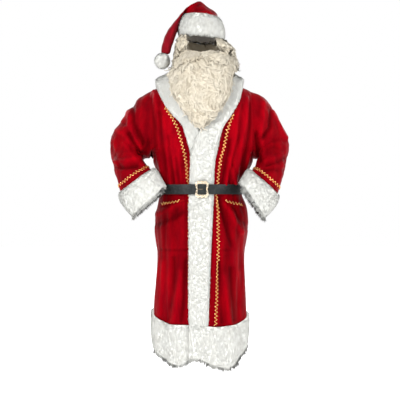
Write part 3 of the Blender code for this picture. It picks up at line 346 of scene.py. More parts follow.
SLEEVE_CREASES = [
    (-8, 1.9, (132.7, 100), (133.6, 122), (139, 133.6), (144, 144)),
    (5, 2.0, (127.5, 110), (129, 124), (134.5, 138), (141, 149)),
    (-7, 1.7, (129, 133), (136, 146), (140, 153.5)),
    (-4, 1.5, (116, 122.5), (126, 125)),
    (4, 2.2, (115, 130), (123, 133), (129.5, 143)),
    (-5, 2.2, (111, 146), (116, 158), (121, 167)),
    (-6, 1.7, (116, 167.5), (127, 167.5), (138, 165.5)),
    (4, 2.0, (115, 162), (128, 160.5), (140, 158)),
    (4, 1.8, (124, 143), (131, 153), (136, 160)),
    (-6, 1.8, (271, 110), (270, 127), (262, 139)),
    (5, 2.2, (264, 103), (262.5, 124), (258, 136)),
    (6, 2.0, (273, 111), (279, 124), (286, 138)),
    (-2.5, 2.0, (263, 150.5), (271.6, 146.5), (277, 147)),
    (4, 1.6, (265, 160.5), (275, 157), (285, 152.5)),
    (-5, 1.5, (266, 165), (276, 162.5), (285, 158.5)),
    (-5, 1.6, (265, 169.8), (275, 169), (283, 171)),
    (-7, 2.0, (255.5, 133), (257.5, 147), (259.5, 160)),
    (4, 1.8, (261, 131), (262.5, 147), (264, 156)),
]
BACK_SHIFT = np.array([2.5, 3.5])


def shader_group(name, given, made):
    """A shader group with its sockets: the values it takes, and the kinds it gives."""
    tree = bpy.data.node_groups.new(name, "ShaderNodeTree")
    for title, value in given.items():
        kind = "NodeSocketColor" if isinstance(value, tuple) else "NodeSocketFloat"
        tree.interface.new_socket(title, in_out="INPUT", socket_type=kind).default_value = value
    for title, kind in made.items():
        tree.interface.new_socket(title, in_out="OUTPUT", socket_type=kind)
    return tree, tree.nodes.new("NodeGroupInput").outputs, tree.nodes.new("NodeGroupOutput")


def placed(tree, group, **values):
    """A shader group in a material, with this material's own values."""
    made = node(tree, "ShaderNodeGroup", node_tree=group)
    feed(tree, made, {title.replace("_", " "): value for title, value in values.items()})
    return made.outputs


def speckle(tree, place, scale, detail, **more):
    """The height of a noise over the piece."""
    return node(tree, "ShaderNodeTexNoise", {"Vector": place, "Scale": scale, "Detail": detail,
                                             **more}).outputs["Fac"]


def ranged(tree, value, low, high, start=0.0, end=1.0):
    """A value brought out of one range into another."""
    return node(tree, "ShaderNodeMapRange", {"Value": value, "From Min": start, "From Max": end,
                                             "To Min": low, "To Max": high}).outputs[0]


def reckoned(tree, operation, *values):
    """The result of a sum on plain numbers."""
    return node(tree, "ShaderNodeMath", dict(enumerate(values)), operation=operation).outputs[0]


def vectored(tree, operation, *values, **more):
    """The result of a sum on vectors."""
    return node(tree, "ShaderNodeVectorMath", {**dict(enumerate(values)), **more},
                operation=operation).outputs[0]


def patches_group():
    """Colour that wanders between two tones over the piece, with the noise behind it as a height."""
    tree, given, out = shader_group(
        "tone patches", {"Scale": 30.0, "Detail": 3.0, "Rough": 0.5, "Stretch": 1.0, "Low": 0.35,
                         "High": 0.65, "Deep": (0.5, 0.5, 0.5, 1), "Light": (0.8, 0.8, 0.8, 1)},
        {"Color": "NodeSocketColor", "Height": "NodeSocketFloat"})
    stretch = node(tree, "ShaderNodeCombineXYZ", {0: 1.0, 1: 1.0, 2: given["Stretch"]}).outputs[0]
    drawn = vectored(tree, "MULTIPLY", node(tree, "ShaderNodeTexCoord").outputs["Object"], stretch)
    broad = speckle(tree, drawn, given["Scale"], given["Detail"], Roughness=given["Rough"])
    share = ranged(tree, broad, 0.0, 1.0, given["Low"], given["High"])
    mixed = node(tree, "ShaderNodeMix", {"Factor": share, "A": given["Deep"], "B": given["Light"]},
                 data_type="RGBA")
    feed(tree, out, {"Color": mixed.outputs["Result"], "Height": broad})
    return tree


def grain_group():
    """Two bumps, a broad one under a fine one."""
    tree, given, out = shader_group(
        "grain", {"Broad": 0.5, "Broad Depth": 0.001, "Broad Strength": 0.3, "Fine": 0.5,
                  "Fine Depth": 0.0004, "Fine Strength": 0.5}, {"Normal": "NodeSocketVector"})
    low = node(tree, "ShaderNodeBump", {"Height": given["Broad"], "Distance": given["Broad Depth"],
                                       "Strength": given["Broad Strength"]})
    high = node(tree, "ShaderNodeBump", {"Height": given["Fine"], "Distance": given["Fine Depth"],
                                        "Strength": given["Fine Strength"], "Normal": low.outputs[0]})
    feed(tree, out, {"Normal": high.outputs[0]})
    return tree


patches = patches_group()
grain = grain_group()


def velour_weave(name, colour, shade, sheen=0.035):
    """Knitted velour: short brushed pile that varies in soft patches over a fine knit, with painted shade in
    the troughs of its folds and painted highlight on their crests.
    """
    material, tree, shader = new_material(name)
    place = node(tree, "ShaderNodeTexCoord").outputs["Object"]
    mixed = placed(tree, patches, Scale=26.0, Detail=5.0, Rough=0.6, Stretch=0.28, Low=0.35, High=0.68,
                   Deep=shade, Light=colour)
    pile = speckle(tree, place, 850.0, 2.0)
    nap = speckle(tree, place, 140.0, 4.0)
    # Painted shade and highlight: the stored lift darkens the cloth in its troughs and lightens it on its
    # crests.
    fold = node(tree, "ShaderNodeAttribute", attribute_name="fold").outputs["Fac"]
    tone = reckoned(tree, "MULTIPLY", ranged(tree, pile, 0.86, 1.10, 0.3, 0.7),
                    ranged(tree, fold, 0.42, 1.22, -1.0))
    soft = placed(tree, grain, Broad=nap, Broad_Depth=0.0012, Broad_Strength=0.35, Fine=pile,
                  Fine_Depth=0.0004, Fine_Strength=0.5)
    feed(tree, shader, {"Base Color": vectored(tree, "SCALE", mixed["Color"], Scale=tone),
                        "Roughness": ranged(tree, nap, 0.42, 0.62), "Normal": soft["Normal"],
                        "Sheen Weight": sheen, "Sheen Roughness": 0.35,
                        "Sheen Tint": (1.0, 0.03, 0.07, 1), "Specular IOR Level": 0.06,
                        "Specular Tint": (0.8, 0.05, 0.08, 1)})
    return material


velour = velour_weave("red velour", (0.232, 0.0003, 0.0032, 1), (0.140, 0.0002, 0.0028, 1))
velour_back = velour_weave("velour knit back", (0.20, 0.006, 0.010, 1), (0.15, 0.004, 0.009, 1), 0.05)


def axis_at(x, y):
    """The middle, at each height, of a piece that goes round an upright line."""
    return lambda place: Vector((x, y, place.z))


def heart_of(name):
    """The middle of a CAD node's box."""
    low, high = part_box(name)
    return (low + high) / 2


def give_thickness(obj, thickness, materials, even=True):
    """Thickens the cloth inward, with a second material on its inside."""
    for material in materials:
        obj.data.materials.append(material)
    wall = obj.modifiers.new("cloth", "SOLIDIFY")
    wall.thickness = thickness
    wall.offset = -1
    wall.use_even_offset = even
    wall.material_offset = 1 if len(materials) > 1 else 0
    wall.material_offset_rim = 0


def one_side(source, picked):
    """A copy of a CAD node with only the faces that a rule picks."""
    shape = merged_copy(source)
    keep = picked(shape)
    bmesh.ops.delete(shape, geom=[face for face in shape.faces if face not in keep], context="FACES")
    return shape


def panel(source, middle):
    """A node's outer face as a piece of cloth under the node's name."""
    outer = one_side(source, lambda shape: outward_faces(shape, middle))
    return sewn_cloth(source.replace("_", "-"), outer, 3)


def creased(obj, lift, even=True, shade=1.0):
    """The cloth with its creases, painted shade in their troughs and painted highlight on their crests, and
    its thickness.
    """
    move(obj.data, lift)
    paint_fold_shade(obj.data, lift * shade)
    give_thickness(obj, CLOTH_THICKNESS, (velour, velour_back), even)


def front_share(normals, turn):
    """From 0 to 1 as the cloth turns from the back to the front."""
    return eased((turn - normals[:, 1]) / (2 * turn))


def robe_offsets(mesh):
    """Pleats that start at the belt, drapes that hang, and creases from the lists."""
    places, normals = arrays(mesh)
    marks = squares(places)
    facing = front_share(normals, ROBE_TURN)
    away = np.abs(places[:, 2] - BELT_LEVEL)
    gathers = ripple(places, *GATHERS) * np.exp(-away / GATHERS_FADE)
    drapes = ripple(places, *DRAPES) * eased(away / DRAPES_START)
    for kind in ROBE_RIPPLES:
        drapes += ripple(places, *kind)
    lift = FRONT_GAIN * facing * crease_lift(marks, FRONT_CREASES) + gathers + drapes
    return lift * eased(rim_distance(mesh) / ROBE_FLAT_RIM)


def laid_on(cloth, place, rise):
    """The nearest point over the piece that another is sewn to, at a height above it."""
    spot, normal, _, _ = cloth.find_nearest(place)
    return spot + normal * rise, normal


def surface_of(obj):
    """A mesh's faces, ready for rays and nearest points."""
    return BVHTree.FromPolygons([vert.co for vert in obj.data.vertices],
                                [tuple(face.vertices) for face in obj.data.polygons])


body_axis = axis_at(BODY_MIDDLE, 0)
cloth_of = {}
for name in ("robe_back", "robe_front_right", "robe_front_left"):
    robe = panel(name, body_axis)
    creased(robe, robe_offsets(robe.data))
    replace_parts(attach(robe, "root"), name)
    cloth_of[name] = surface_of(robe)

for side in ("right", "left"):
    source = f"sleeve_{side}"
    arm = panel(source, axis_at(*heart_of(source).xy))
    places, normals = arrays(arm.data)
    marks = squares(places)
    front = front_share(normals, SLEEVE_TURN)
    lift = front * crease_lift(marks, SLEEVE_CREASES)
    lift += (1 - front) * SLEEVE_BACK_GAIN * crease_lift(marks + BACK_SHIFT, SLEEVE_CREASES)
    lift *= SLEEVE_GAIN
    for kind in SLEEVE_RIPPLES:
        lift += ripple(places, *kind)
    lift *= eased(rim_distance(arm.data) / SLEEVE_FLAT_RIM)
    creased(arm, lift, even=False)
    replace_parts(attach(arm, "root"), source)
    cloth_of[source] = surface_of(arm)

# ---------------------------------------------------------------- white trim
# Long-pile white plush lines the fronts, the rolled collar, the hem, the cuffs and the hat's brim.
# Each piece is a cut strip, sewn edge to edge to the velour, on a knitted backing. The strip is a
# rounded solid, and its pile is many fine tufts set on its outer side.
BACKING = 1
LINING_FACING = -0.3
EDGE_FACING = 0.5
RIM_FACING = 0.55
UNDER = 0.06
TUFT_FOOT = 0.0014
TUFT_DEPTH = 0.0015
LOCK_DEPTH = 0.003
LOCK_STRAY = 0.0016
WILD = 0.7
SWIRL_GAIN = 6
TRIM_HOLD = 0.35


def settled_group():
    """Turns each fibre's shading towards the face it grows from, as a thick pile shades together,
    with a fine bump over it."""
    tree, given, out = shader_group("settled normal", {"Height": 0.5, "Distance": 0.001, "Strength": 0.5,
                                                       "Own": 0.4}, {"Normal": "NodeSocketVector"})
    face = node(tree, "ShaderNodeNewGeometry").outputs["Normal"]
    root = node(tree, "ShaderNodeAttribute", attribute_name="root").outputs["Vector"]
    both = vectored(tree, "ADD", vectored(tree, "SCALE", face, Scale=given["Own"]), root)
    bump = node(tree, "ShaderNodeBump", {"Height": given["Height"], "Distance": given["Distance"],
                                        "Strength": given["Strength"],
                                        "Normal": vectored(tree, "NORMALIZE", both)})
    feed(tree, out, {"Normal": bump.outputs[0]})
    return tree


settled = settled_group()


def pile_look(name, colour, warm):
    """Matt plush fibres, in broad soft patches of two tones."""
    material, tree, shader = new_material(name)
    fibre = speckle(tree, node(tree, "ShaderNodeTexCoord").outputs["Object"], 900.0, 2.0)
    mixed = placed(tree, patches, Scale=38.0, Low=0.38, High=0.62, Deep=warm, Light=colour)
    shaded = placed(tree, settled, Height=fibre, Distance=0.0006, Strength=0.35, Own=0.15)
    feed(tree, shader, {"Base Color": mixed["Color"], "Normal": shaded["Normal"], "Roughness": 0.95,
                        "Specular IOR Level": 0.10})
    return material


plush = pile_look("white plush", (0.69, 0.69, 0.65, 1), (0.645, 0.64, 0.595, 1))
# Painted shade: the face under the tufts is a darker plush, as if shaded by the pile over it.
shaded_plush_ground = pile_look("plush ground", (0.64, 0.64, 0.60, 1), (0.60, 0.595, 0.55, 1))
backing = pile_look("knitted backing", (0.62, 0.60, 0.56, 1), (0.55, 0.53, 0.50, 1))


def set_along(shape, made, place, way, *before):
    """Moves a new primitive to a place with its own Z along a way, after any matrices of its own."""
    matrix = Matrix.Translation(place) @ way.to_track_quat("Z", "Y").to_matrix().to_4x4()
    for own in before:
        matrix = matrix @ own
    bmesh.ops.transform(shape, matrix=matrix, verts=made["verts"])


def blade(shape, foot, tip, width, turn):
    """One closed three-sided fibre that narrows from its foot to its tip."""
    made = bmesh.ops.create_cone(shape, cap_ends=True, segments=3, radius1=width, radius2=0.0, depth=1.0)
    way = tip - foot
    set_along(shape, made, (foot + tip) / 2, way, Matrix.Rotation(turn, 4, "Z"),
              Matrix.Diagonal((1, 1, way.length, 1)))


def hidden_group(name, meshes):
    """Shapes kept off the render, from which the scattering picks."""
    group = bpy.data.collections.new(name)
    bpy.context.scene.collection.children.link(group)
    for index, mesh in enumerate(meshes):
        obj = bpy.data.objects.new(f"{name}.{index}", mesh)
        obj.hide_render = True
        group.objects.link(obj)
    return group


def tuft_mesh(seed, fibres, length, spread, width, lie):
    """A few fibres from one root that fan out and lie over towards +X."""
    random.seed(seed)
    shape = bmesh.new()
    for _ in range(fibres):
        turn = random.uniform(0, 2 * math.pi)
        fan = random.uniform(0.1, 1.0) * spread
        reach = length * random.uniform(0.75, 1.1)
        foot = Vector((TUFT_FOOT * math.cos(turn), TUFT_FOOT * math.sin(turn), -TUFT_DEPTH))
        way = Vector((lie + fan * math.cos(turn), fan * math.sin(turn), 1.0)).normalized() * reach
        blade(shape, foot, foot + way, width, turn)
    return meshed(f"tuft{seed}", shape)


def lock_mesh(seed, fibres, length, spread, width, lie):
    """A lock of fibres that draw together to one tip, leaning towards +X."""
    random.seed(seed)
    shape = bmesh.new()
    tip = Vector((lie, random.uniform(-0.3, 0.3), 1.0)).normalized() * length
    for index in range(fibres):
        turn = 2 * math.pi * index / fibres
        reach = spread * random.uniform(0.3, 1.0)
        foot = Vector((reach * math.cos(turn), reach * math.sin(turn), -LOCK_DEPTH))
        stray = Vector((random.uniform(-1, 1), random.uniform(-1, 1), random.uniform(-2, 1)))
        blade(shape, foot, tip * random.uniform(0.7, 1.0) + stray * LOCK_STRAY, width, turn)
    return meshed(f"lock{seed}", shape)


def scatter_group():
    """Geometry nodes that set shapes from a collection over a surface, turned to its face."""
    tree = bpy.data.node_groups.new("scatter", "GeometryNodeTree")
    for title, kind, value in (("Surface", "NodeSocketGeometry", None),
                               ("Shapes", "NodeSocketCollection", None),
                               ("Density", "NodeSocketFloat", 1000.0),
                               ("Flow", "NodeSocketVector", (0, 0, -1)),
                               ("Unruly", "NodeSocketFloat", 0.5), ("Swirl", "NodeSocketFloat", 40.0),
                               ("Spread", "NodeSocketFloat", 0.0),
                               ("Least", "NodeSocketFloat", 0.8), ("Most", "NodeSocketFloat", 1.2),
                               ("Seed", "NodeSocketInt", 0)):
        socket = tree.interface.new_socket(title, in_out="INPUT", socket_type=kind)
        if value is not None:
            socket.default_value = value
    tree.interface.new_socket("Pile", in_out="OUTPUT", socket_type="NodeSocketGeometry")
    given = tree.nodes.new("NodeGroupInput").outputs

    def chance(low, high):
        """A random number for each spot."""
        return node(tree, "FunctionNodeRandomValue", {2: low, 3: high, "Seed": given["Seed"]},
                    data_type="FLOAT").outputs[1]

    def noted(geometry, name, value, kind):
        """The copies, each carrying a value that its shading reads."""
        return node(tree, "GeometryNodeStoreNamedAttribute",
                    {"Geometry": geometry, "Name": name, "Value": value},
                    data_type=kind, domain="INSTANCE").outputs[0]

    index = node(tree, "GeometryNodeInputMaterialIndex").outputs[0]
    outer = node(tree, "FunctionNodeCompare", {2: index, 3: 0}, data_type="INT", operation="EQUAL")
    spots = node(tree, "GeometryNodeDistributePointsOnFaces",
                 {"Mesh": given["Surface"], "Selection": outer.outputs[0], "Density": given["Density"],
                  "Seed": given["Seed"]}).outputs
    place = node(tree, "GeometryNodeInputPosition").outputs[0]
    swirl = node(tree, "ShaderNodeTexNoise", {"Vector": place, "Scale": given["Swirl"], "Detail": 1.0})
    centred = vectored(tree, "SUBTRACT", swirl.outputs["Color"], (0.5, 0.5, 0.5))
    wild = node(tree, "FunctionNodeRandomValue",
                {0: (-WILD, -WILD, -WILD), 1: (WILD, WILD, WILD), "Seed": given["Seed"]},
                data_type="FLOAT_VECTOR").outputs[0]
    both = vectored(tree, "MULTIPLY_ADD", centred, (SWIRL_GAIN, SWIRL_GAIN, SWIRL_GAIN), wild)
    stray = vectored(tree, "SCALE", both, Scale=given["Unruly"])
    east = node(tree, "ShaderNodeSeparateXYZ", {0: place}).outputs[0]
    aside = reckoned(tree, "MULTIPLY", east, given["Spread"])
    sideways = node(tree, "ShaderNodeCombineXYZ", {0: aside}).outputs[0]
    way = vectored(tree, "ADD", vectored(tree, "ADD", given["Flow"], sideways), stray)
    upright = node(tree, "FunctionNodeAlignRotationToVector", {"Vector": spots["Normal"]}, axis="Z")
    turned = node(tree, "FunctionNodeAlignRotationToVector",
                  {"Rotation": upright.outputs[0], "Vector": way}, axis="X", pivot_axis="Z")
    shapes = node(tree, "GeometryNodeCollectionInfo", {"Collection": given["Shapes"],
                                                      "Separate Children": True, "Reset Children": True})
    copies = node(tree, "GeometryNodeInstanceOnPoints",
                  {"Points": spots["Points"], "Instance": shapes.outputs[0], "Pick Instance": True,
                   "Rotation": turned.outputs[0], "Scale": chance(given["Least"], given["Most"])})
    toned = noted(copies.outputs[0], "tone", chance(0.0, 1.0), "FLOAT")
    rooted = noted(toned, "root", spots["Normal"], "FLOAT_VECTOR")
    real = node(tree, "GeometryNodeRealizeInstances", {0: rooted})
    tree.links.new(real.outputs[0], tree.nodes.new("NodeGroupOutput").inputs[0])
    return tree


scatter = scatter_group()


def grown(name, base, shapes, material, **values):
    """The scattered shapes on a base piece, as a mesh of their own."""
    obj = linked(name, base.data.copy())
    maker = obj.modifiers.new("scatter", "NODES")
    maker.node_group = scatter
    values["Shapes"] = shapes
    for socket in scatter.interface.items_tree:
        if socket.in_out == "INPUT" and socket.name in values:
            maker[socket.identifier] = values[socket.name]
    bpy.context.view_layer.update()
    old = obj.data
    obj.data = plain_copy(obj)
    obj.modifiers.clear()
    bpy.data.meshes.remove(old)
    obj.data.materials.clear()
    obj.data.materials.append(material)
    return obj


tufts = hidden_group("tufts", [tuft_mesh(seed, 5, 0.0135, 0.40, 0.0014, 2.7) for seed in range(6)])
fringe_locks = hidden_group("fringe locks", [lock_mesh(40 + seed, 7, 0.020, 0.0030, 0.0011, 0.5)
                                             for seed in range(6)])


def mark_lining(mesh, middle, facing=LINING_FACING):
    """Gives the faces that look towards the middle the slot of the backing."""
    for face in mesh.polygons:
        inward = face.normal.dot((face.center - middle(face.center)).normalized()) < facing
        face.material_index = BACKING if inward else 0


def edge_of(strip, middle, hang=None):
    """A copy of the strip with only its edges, whose faces look along the cloth it borders, or with
    only the rim that looks the way its pile hangs."""
    shape = bmesh.new()
    shape.from_mesh(strip.data)
    broad = []
    for face in shape.faces:
        centre = face.calc_center_median()
        facing = face.normal.dot((centre - middle(centre)).normalized())
        rim = face.normal.dot(hang) > RIM_FACING if hang else LINING_FACING < facing < EDGE_FACING
        if not rim:
            broad.append(face)
    bmesh.ops.delete(shape, geom=broad, context="FACES")
    return bpy.data.objects.new("edge", meshed("edge", shape))


def plush_strip(source, middle, density, flow=(0, 0, -1), fringe=None, all_edges=False, cover=None):
    """A trim strip with its pile: the rounded solid, then tufts on the faces that look outward and
    lie under no other strip. A fringe of longer locks is given as their least and most size and
    their density, and grows along all the edges or along the lowest."""
    strip = sewn_cloth(source.replace("_", "-"), merged_copy(source), 2, hold=TRIM_HOLD)
    strip.data.materials.append(shaded_plush_ground)
    strip.data.materials.append(backing)
    mark_lining(strip.data, middle)
    for face in strip.data.polygons:
        if cover and face.material_index != BACKING and cover.ray_cast(face.center, face.normal, UNDER)[0]:
            face.material_index = BACKING
    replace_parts(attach(strip, "root"), source)
    pile = grown(strip.name + "-pile", strip, tufts, plush, Density=density, Flow=flow, Unruly=0.20,
                 Swirl=12.0, Least=0.8, Most=1.15, Seed=len(source))
    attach(pile, "root")
    if fringe:
        edge = edge_of(strip, middle, None if all_edges else Vector(flow).normalized())
        locks = grown(strip.name + "-fringe", edge, fringe_locks, plush, Density=fringe[2], Flow=flow,
                      Unruly=0.5, Swirl=40.0, Least=fringe[0], Most=fringe[1], Seed=len(source))
        bpy.data.objects.remove(edge)
        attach(locks, "root")


for side, cover in (("right", surface_of(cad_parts["front_trim_left"])), ("left", None)):
    plush_strip(f"front_trim_{side}", body_axis, 31000, fringe=(0.2, 0.5, 34000.0), all_edges=True,
                cover=cover)
for part in ("right", "left", "back"):
    plush_strip(f"hem_trim_{part}", body_axis, 28000, fringe=(0.7, 1.4, 300000.0))
for side, outward in (("right", 0.5), ("left", -0.5)):
    heart = heart_of(f"cuff_trim_{side}")
    plush_strip(f"cuff_trim_{side}", lambda place: heart, 33000, (outward, -0.25, -0.8),
                fringe=(0.8, 1.4, 260000.0))
plush_strip("hat_trim", axis_at(*heart_of("hat_trim").xy), 39000)

# ---------------------------------------------------------------- hat crown and pompom
# The hat is a cone of the same velour, sewn into the plush brim. Its tip folds over at the peak and
# hangs down the right side of the head, with a plush ball sewn to its end.
HAT_CREASES = [
    (-3, 1.3, (200, 4), (191, 11), (182, 21), (176, 32)),
    (3, 1.2, (196, 7), (186, 17), (177, 29), (171, 42)),
    (-3, 1.1, (206, 7), (212, 11), (218, 16)),
    (-2.5, 1.0, (187, 14), (195, 11), (204, 10)),
    (2.5, 1.2, (173, 30), (168, 41), (166, 50)),
    (-2, 0.9, (169, 38), (165.5, 50)),
]
# Rings of the crown from the brim to the tail's end: the two sides as seen from the front (x and
# height), the depth of the middle and half the depth.
CROWN_RINGS = [
    (0.0915, 0.3165, -0.0735, 0.3330, 0.004, 0.104), (0.086, 0.338, -0.0745, 0.3345, 0.004, 0.100),
    (0.062, 0.3575, -0.0750, 0.3357, 0.004, 0.090), (0.030, 0.3795, -0.0756, 0.3368, 0.003, 0.078),
    (0.002, 0.3985, -0.0772, 0.3380, 0.000, 0.066), (-0.038, 0.3755, -0.0850, 0.3370, -0.005, 0.060),
    (-0.082, 0.339, -0.0910, 0.3090, -0.012, 0.052), (-0.121, 0.293, -0.1035, 0.2680, -0.022, 0.044),
    (-0.155, 0.246, -0.1155, 0.2300, -0.032, 0.036), (-0.174, 0.195, -0.1285, 0.1890, -0.040, 0.028),
    (-0.180, 0.156, -0.1400, 0.1540, -0.045, 0.022), (-0.178, 0.147, -0.1430, 0.1460, -0.046, 0.019),
    (-0.170, 0.141, -0.1520, 0.1405, -0.047, 0.010),
]
CROWN_STEPS = 5
CROWN_SIDES = 64
CROWN_RIPPLE = ((0.022, 0.022, 0.030), 2.6, 0.0022)
CROWN_FLAT_RIM = 0.016
CROWN_FOLD_SHADE = 1.6
FOLD_HINGE = np.array([-0.075, 0.0, 0.336])
HINGE_FLAT, HINGE_SOFT = 0.02, 0.03
BALL_CORE = 0.0345
BALL_LUMPS, BALL_LUMP_SCALE = 0.05, 55


def through(rows, steps):
    """Points on a curve that passes smoothly through all the rows."""
    rows = np.array(rows, float)
    padded_rows = np.vstack([2 * rows[0] - rows[1], rows, 2 * rows[-1] - rows[-2]])
    made = []
    for index in range(len(rows) - 1):
        before, start, end, after = padded_rows[index:index + 4]
        for step in range(steps + (index == len(rows) - 2)):
            t = step / steps
            made.append(0.5 * (2 * start + (end - before) * t
                               + (2 * before - 5 * start + 4 * end - after) * t * t
                               + (3 * start - before - 3 * end + after) * t ** 3))
    return np.array(made)


crown_shape = bmesh.new()
crown_edges = []
for out_x, out_z, in_x, in_z, depth, half in through(CROWN_RINGS, CROWN_STEPS):
    ring = bmesh.ops.create_circle(crown_shape, segments=CROWN_SIDES, radius=1.0)["verts"]
    across = Vector((out_x - in_x, 0, out_z - in_z)) / 2
    middle = Vector(((out_x + in_x) / 2, depth, (out_z + in_z) / 2))
    for vert in ring:
        vert.co = middle + across * vert.co.x - Vector((0, half, 0)) * vert.co.y
    crown_edges.append([edge for edge in crown_shape.edges if edge.verts[0] in ring])
for upper, lower in zip(crown_edges, crown_edges[1:]):
    bmesh.ops.bridge_loops(crown_shape, edges=upper + lower)
bmesh.ops.recalc_face_normals(crown_shape, faces=crown_shape.faces)
crown = linked("hat-crown", meshed("hat-crown", crown_shape))
crown.data.shade_smooth()
places = arrays(crown.data)[0]
lift = crease_lift(squares(places), HAT_CREASES)
lift += ripple(places, *CROWN_RIPPLE)
from_hinge = np.linalg.norm(places - FOLD_HINGE, axis=1)
lift *= eased(rim_distance(crown.data) / CROWN_FLAT_RIM) * eased((from_hinge - HINGE_FLAT) / HINGE_SOFT)
# The hat's creases are painted with stronger shade in their troughs and stronger highlight on their crests.
creased(crown, lift, even=False, shade=CROWN_FOLD_SHADE)
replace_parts(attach(crown, "root"), "hat_crown")

ball_shape = bmesh.new()
bmesh.ops.create_icosphere(ball_shape, subdivisions=4, radius=BALL_CORE)
for vert in ball_shape.verts:
    vert.co *= 1 + BALL_LUMPS * noise.noise(vert.co * BALL_LUMP_SCALE)
bmesh.ops.translate(ball_shape, verts=ball_shape.verts, vec=heart_of("hat_pompom"))
ball = linked("hat-pompom", meshed("hat-pompom", ball_shape))
ball.data.shade_smooth()
ball.data.materials.append(shaded_plush_ground)
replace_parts(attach(ball, "root"), "hat_pompom")
long_tufts = hidden_group("long_tufts", [tuft_mesh(20 + seed, 5, 0.012, 0.5, 0.0013, 1.5)
                                         for seed in range(5)])
ball_pile = grown("hat-pompom-pile", ball, long_tufts, plush, Density=36000.0, Unruly=0.4, Swirl=30.0,
                  Least=0.75, Most=1.1, Seed=4)
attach(ball_pile, "root")

# ---------------------------------------------------------------- wig, beard and moustache
# Curly cream synthetic hair, sewn in rows to a soft backing: the wig is a ring of curls that hangs
# from under the hat, and beard and moustache are bibs. Each lock is a few fine waved strands.
LOCK_STRANDS = 3
CURL_STEPS = 8
LOCK_HALF = 0.0030
STRAND_HALF = 0.0021
CURL_CROWN = 0.003
BUNCH, BUNCH_SHADE = 0.036, 1.6
HEAD_MIDDLE = 0.009
MOUTH_HALF, MOUTH_SIDE_SOFT = 0.085, 0.03
MOUTH_LEVEL, MOUTH_LEVEL_SOFT = 0.075, 0.02


def hair_look(name, light, deep):
    """Glossy fibres in cream, lighter and darker from lock to lock, with fine streaks; painted shade darkens
    the hollows between bunches and painted highlight lightens their tops.
    """
    material, tree, shader = new_material(name)
    place = node(tree, "ShaderNodeTexCoord").outputs["Object"]
    lock = node(tree, "ShaderNodeAttribute", attribute_name="tone").outputs["Fac"]
    bunch_shade = node(tree, "ShaderNodeAttribute", attribute_name="fold").outputs["Fac"]
    laid = node(tree, "ShaderNodeMapping", {"Vector": node(tree, "ShaderNodeTexCoord").outputs["UV"],
                                           "Scale": (14.0, 2.0, 1.0)}).outputs[0]
    # Painted shade and highlight: the bunches' heights darken the cream in the hollows between them and
    # lighten it on their tops.
    raised = reckoned(tree, "MULTIPLY_ADD", bunch_shade, 0.6, speckle(tree, place, 30.0, 3.0))
    share = ranged(tree, reckoned(tree, "MULTIPLY_ADD", lock, 0.6, raised), 0.0, 1.0, 0.15, 1.25)
    mixed = node(tree, "ShaderNodeMix", {"Factor": share, "A": deep, "B": light}, data_type="RGBA")
    shaded = placed(tree, settled, Height=speckle(tree, laid, 3.0, 3.0), Distance=0.0010, Strength=0.4,
                    Own=0.45)
    feed(tree, shader, {"Base Color": mixed.outputs["Result"], "Normal": shaded["Normal"],
                        "Roughness": 0.55, "Specular IOR Level": 0.25, "Sheen Weight": 0.25,
                        "Sheen Roughness": 0.5, "Sheen Tint": (1.0, 0.93, 0.78, 1)})
    return material


hair = hair_look("cream hair", (0.655, 0.595, 0.48, 1), (0.54, 0.47, 0.355, 1))


def tube(shape, points, radii, sides, closed=False, flat=1.0):
    """A cord through the points, capped at its ends, with its length laid out on its map."""
    count = len(points)
    layer = shape.loops.layers.uv.verify()
    normal, rings = None, []
    for index, place in enumerate(points):
        ahead = points[(index + 1) % count] if closed or index + 1 < count else place
        behind = points[index - 1] if closed or index else place
        along = (Vector(ahead) - Vector(behind)).normalized()
        normal = along.orthogonal() if normal is None else normal - along * normal.dot(along)
        normal.normalize()
        across = along.cross(normal) * flat
        turns = [2 * math.pi * side / sides for side in range(sides)]
        rings.append([shape.verts.new(Vector(place) + radii[index] * (normal * math.cos(turn)
                                                                      + across * math.sin(turn)))
                      for turn in turns])
    pairs = list(zip(rings, rings[1:])) + ([(rings[-1], rings[0])] if closed else [])
    for step, (first, second) in enumerate(pairs):
        for side in range(sides):
            after = (side + 1) % sides
            face = shape.faces.new((first[side], first[after], second[after], second[side]))
            face.smooth = True
            corners = (side, step), (side + 1, step), (side + 1, step + 1), (side, step + 1)
            for loop, (u, v) in zip(face.loops, corners):
                loop[layer].uv = (u / sides, v / count)
    if not closed:
        shape.faces.new(rings[0][::-1])
        shape.faces.new(rings[-1])


def curl_mesh(seed, length, waves, swing):
    """A lock of strands that wave together along +X and draw to a point."""
    random.seed(seed)
    shape = bmesh.new()
    start = random.uniform(0, 2 * math.pi)
    for strand in range(LOCK_STRANDS):
        turn = 2 * math.pi * strand / LOCK_STRANDS
        points, radii = [], []
        for step in range(CURL_STEPS):
            along = step / (CURL_STEPS - 1)
            spread = LOCK_HALF * (1 - 0.8 * along)
            wave = start + 2 * math.pi * waves * along + random.uniform(-0.12, 0.12)
            points.append((length * (along - 0.35), swing * math.sin(wave) + spread * math.cos(turn),
                           0.6 * swing * math.cos(wave) + 0.7 * spread * math.sin(turn)
                           + CURL_CROWN * math.sin(math.pi * along)))
            radii.append(STRAND_HALF * (1.15 - 0.85 * along))
        tube(shape, points, radii, 4, flat=0.8)
    return meshed(f"curl{seed}", shape)


curls = hidden_group("curls", [
    curl_mesh(1, 0.048, 1.0, 0.0065), curl_mesh(2, 0.052, 1.2, 0.0060), curl_mesh(3, 0.044, 0.9, 0.0075),
    curl_mesh(4, 0.056, 1.4, 0.0055), curl_mesh(5, 0.042, 0.8, 0.0080),
])


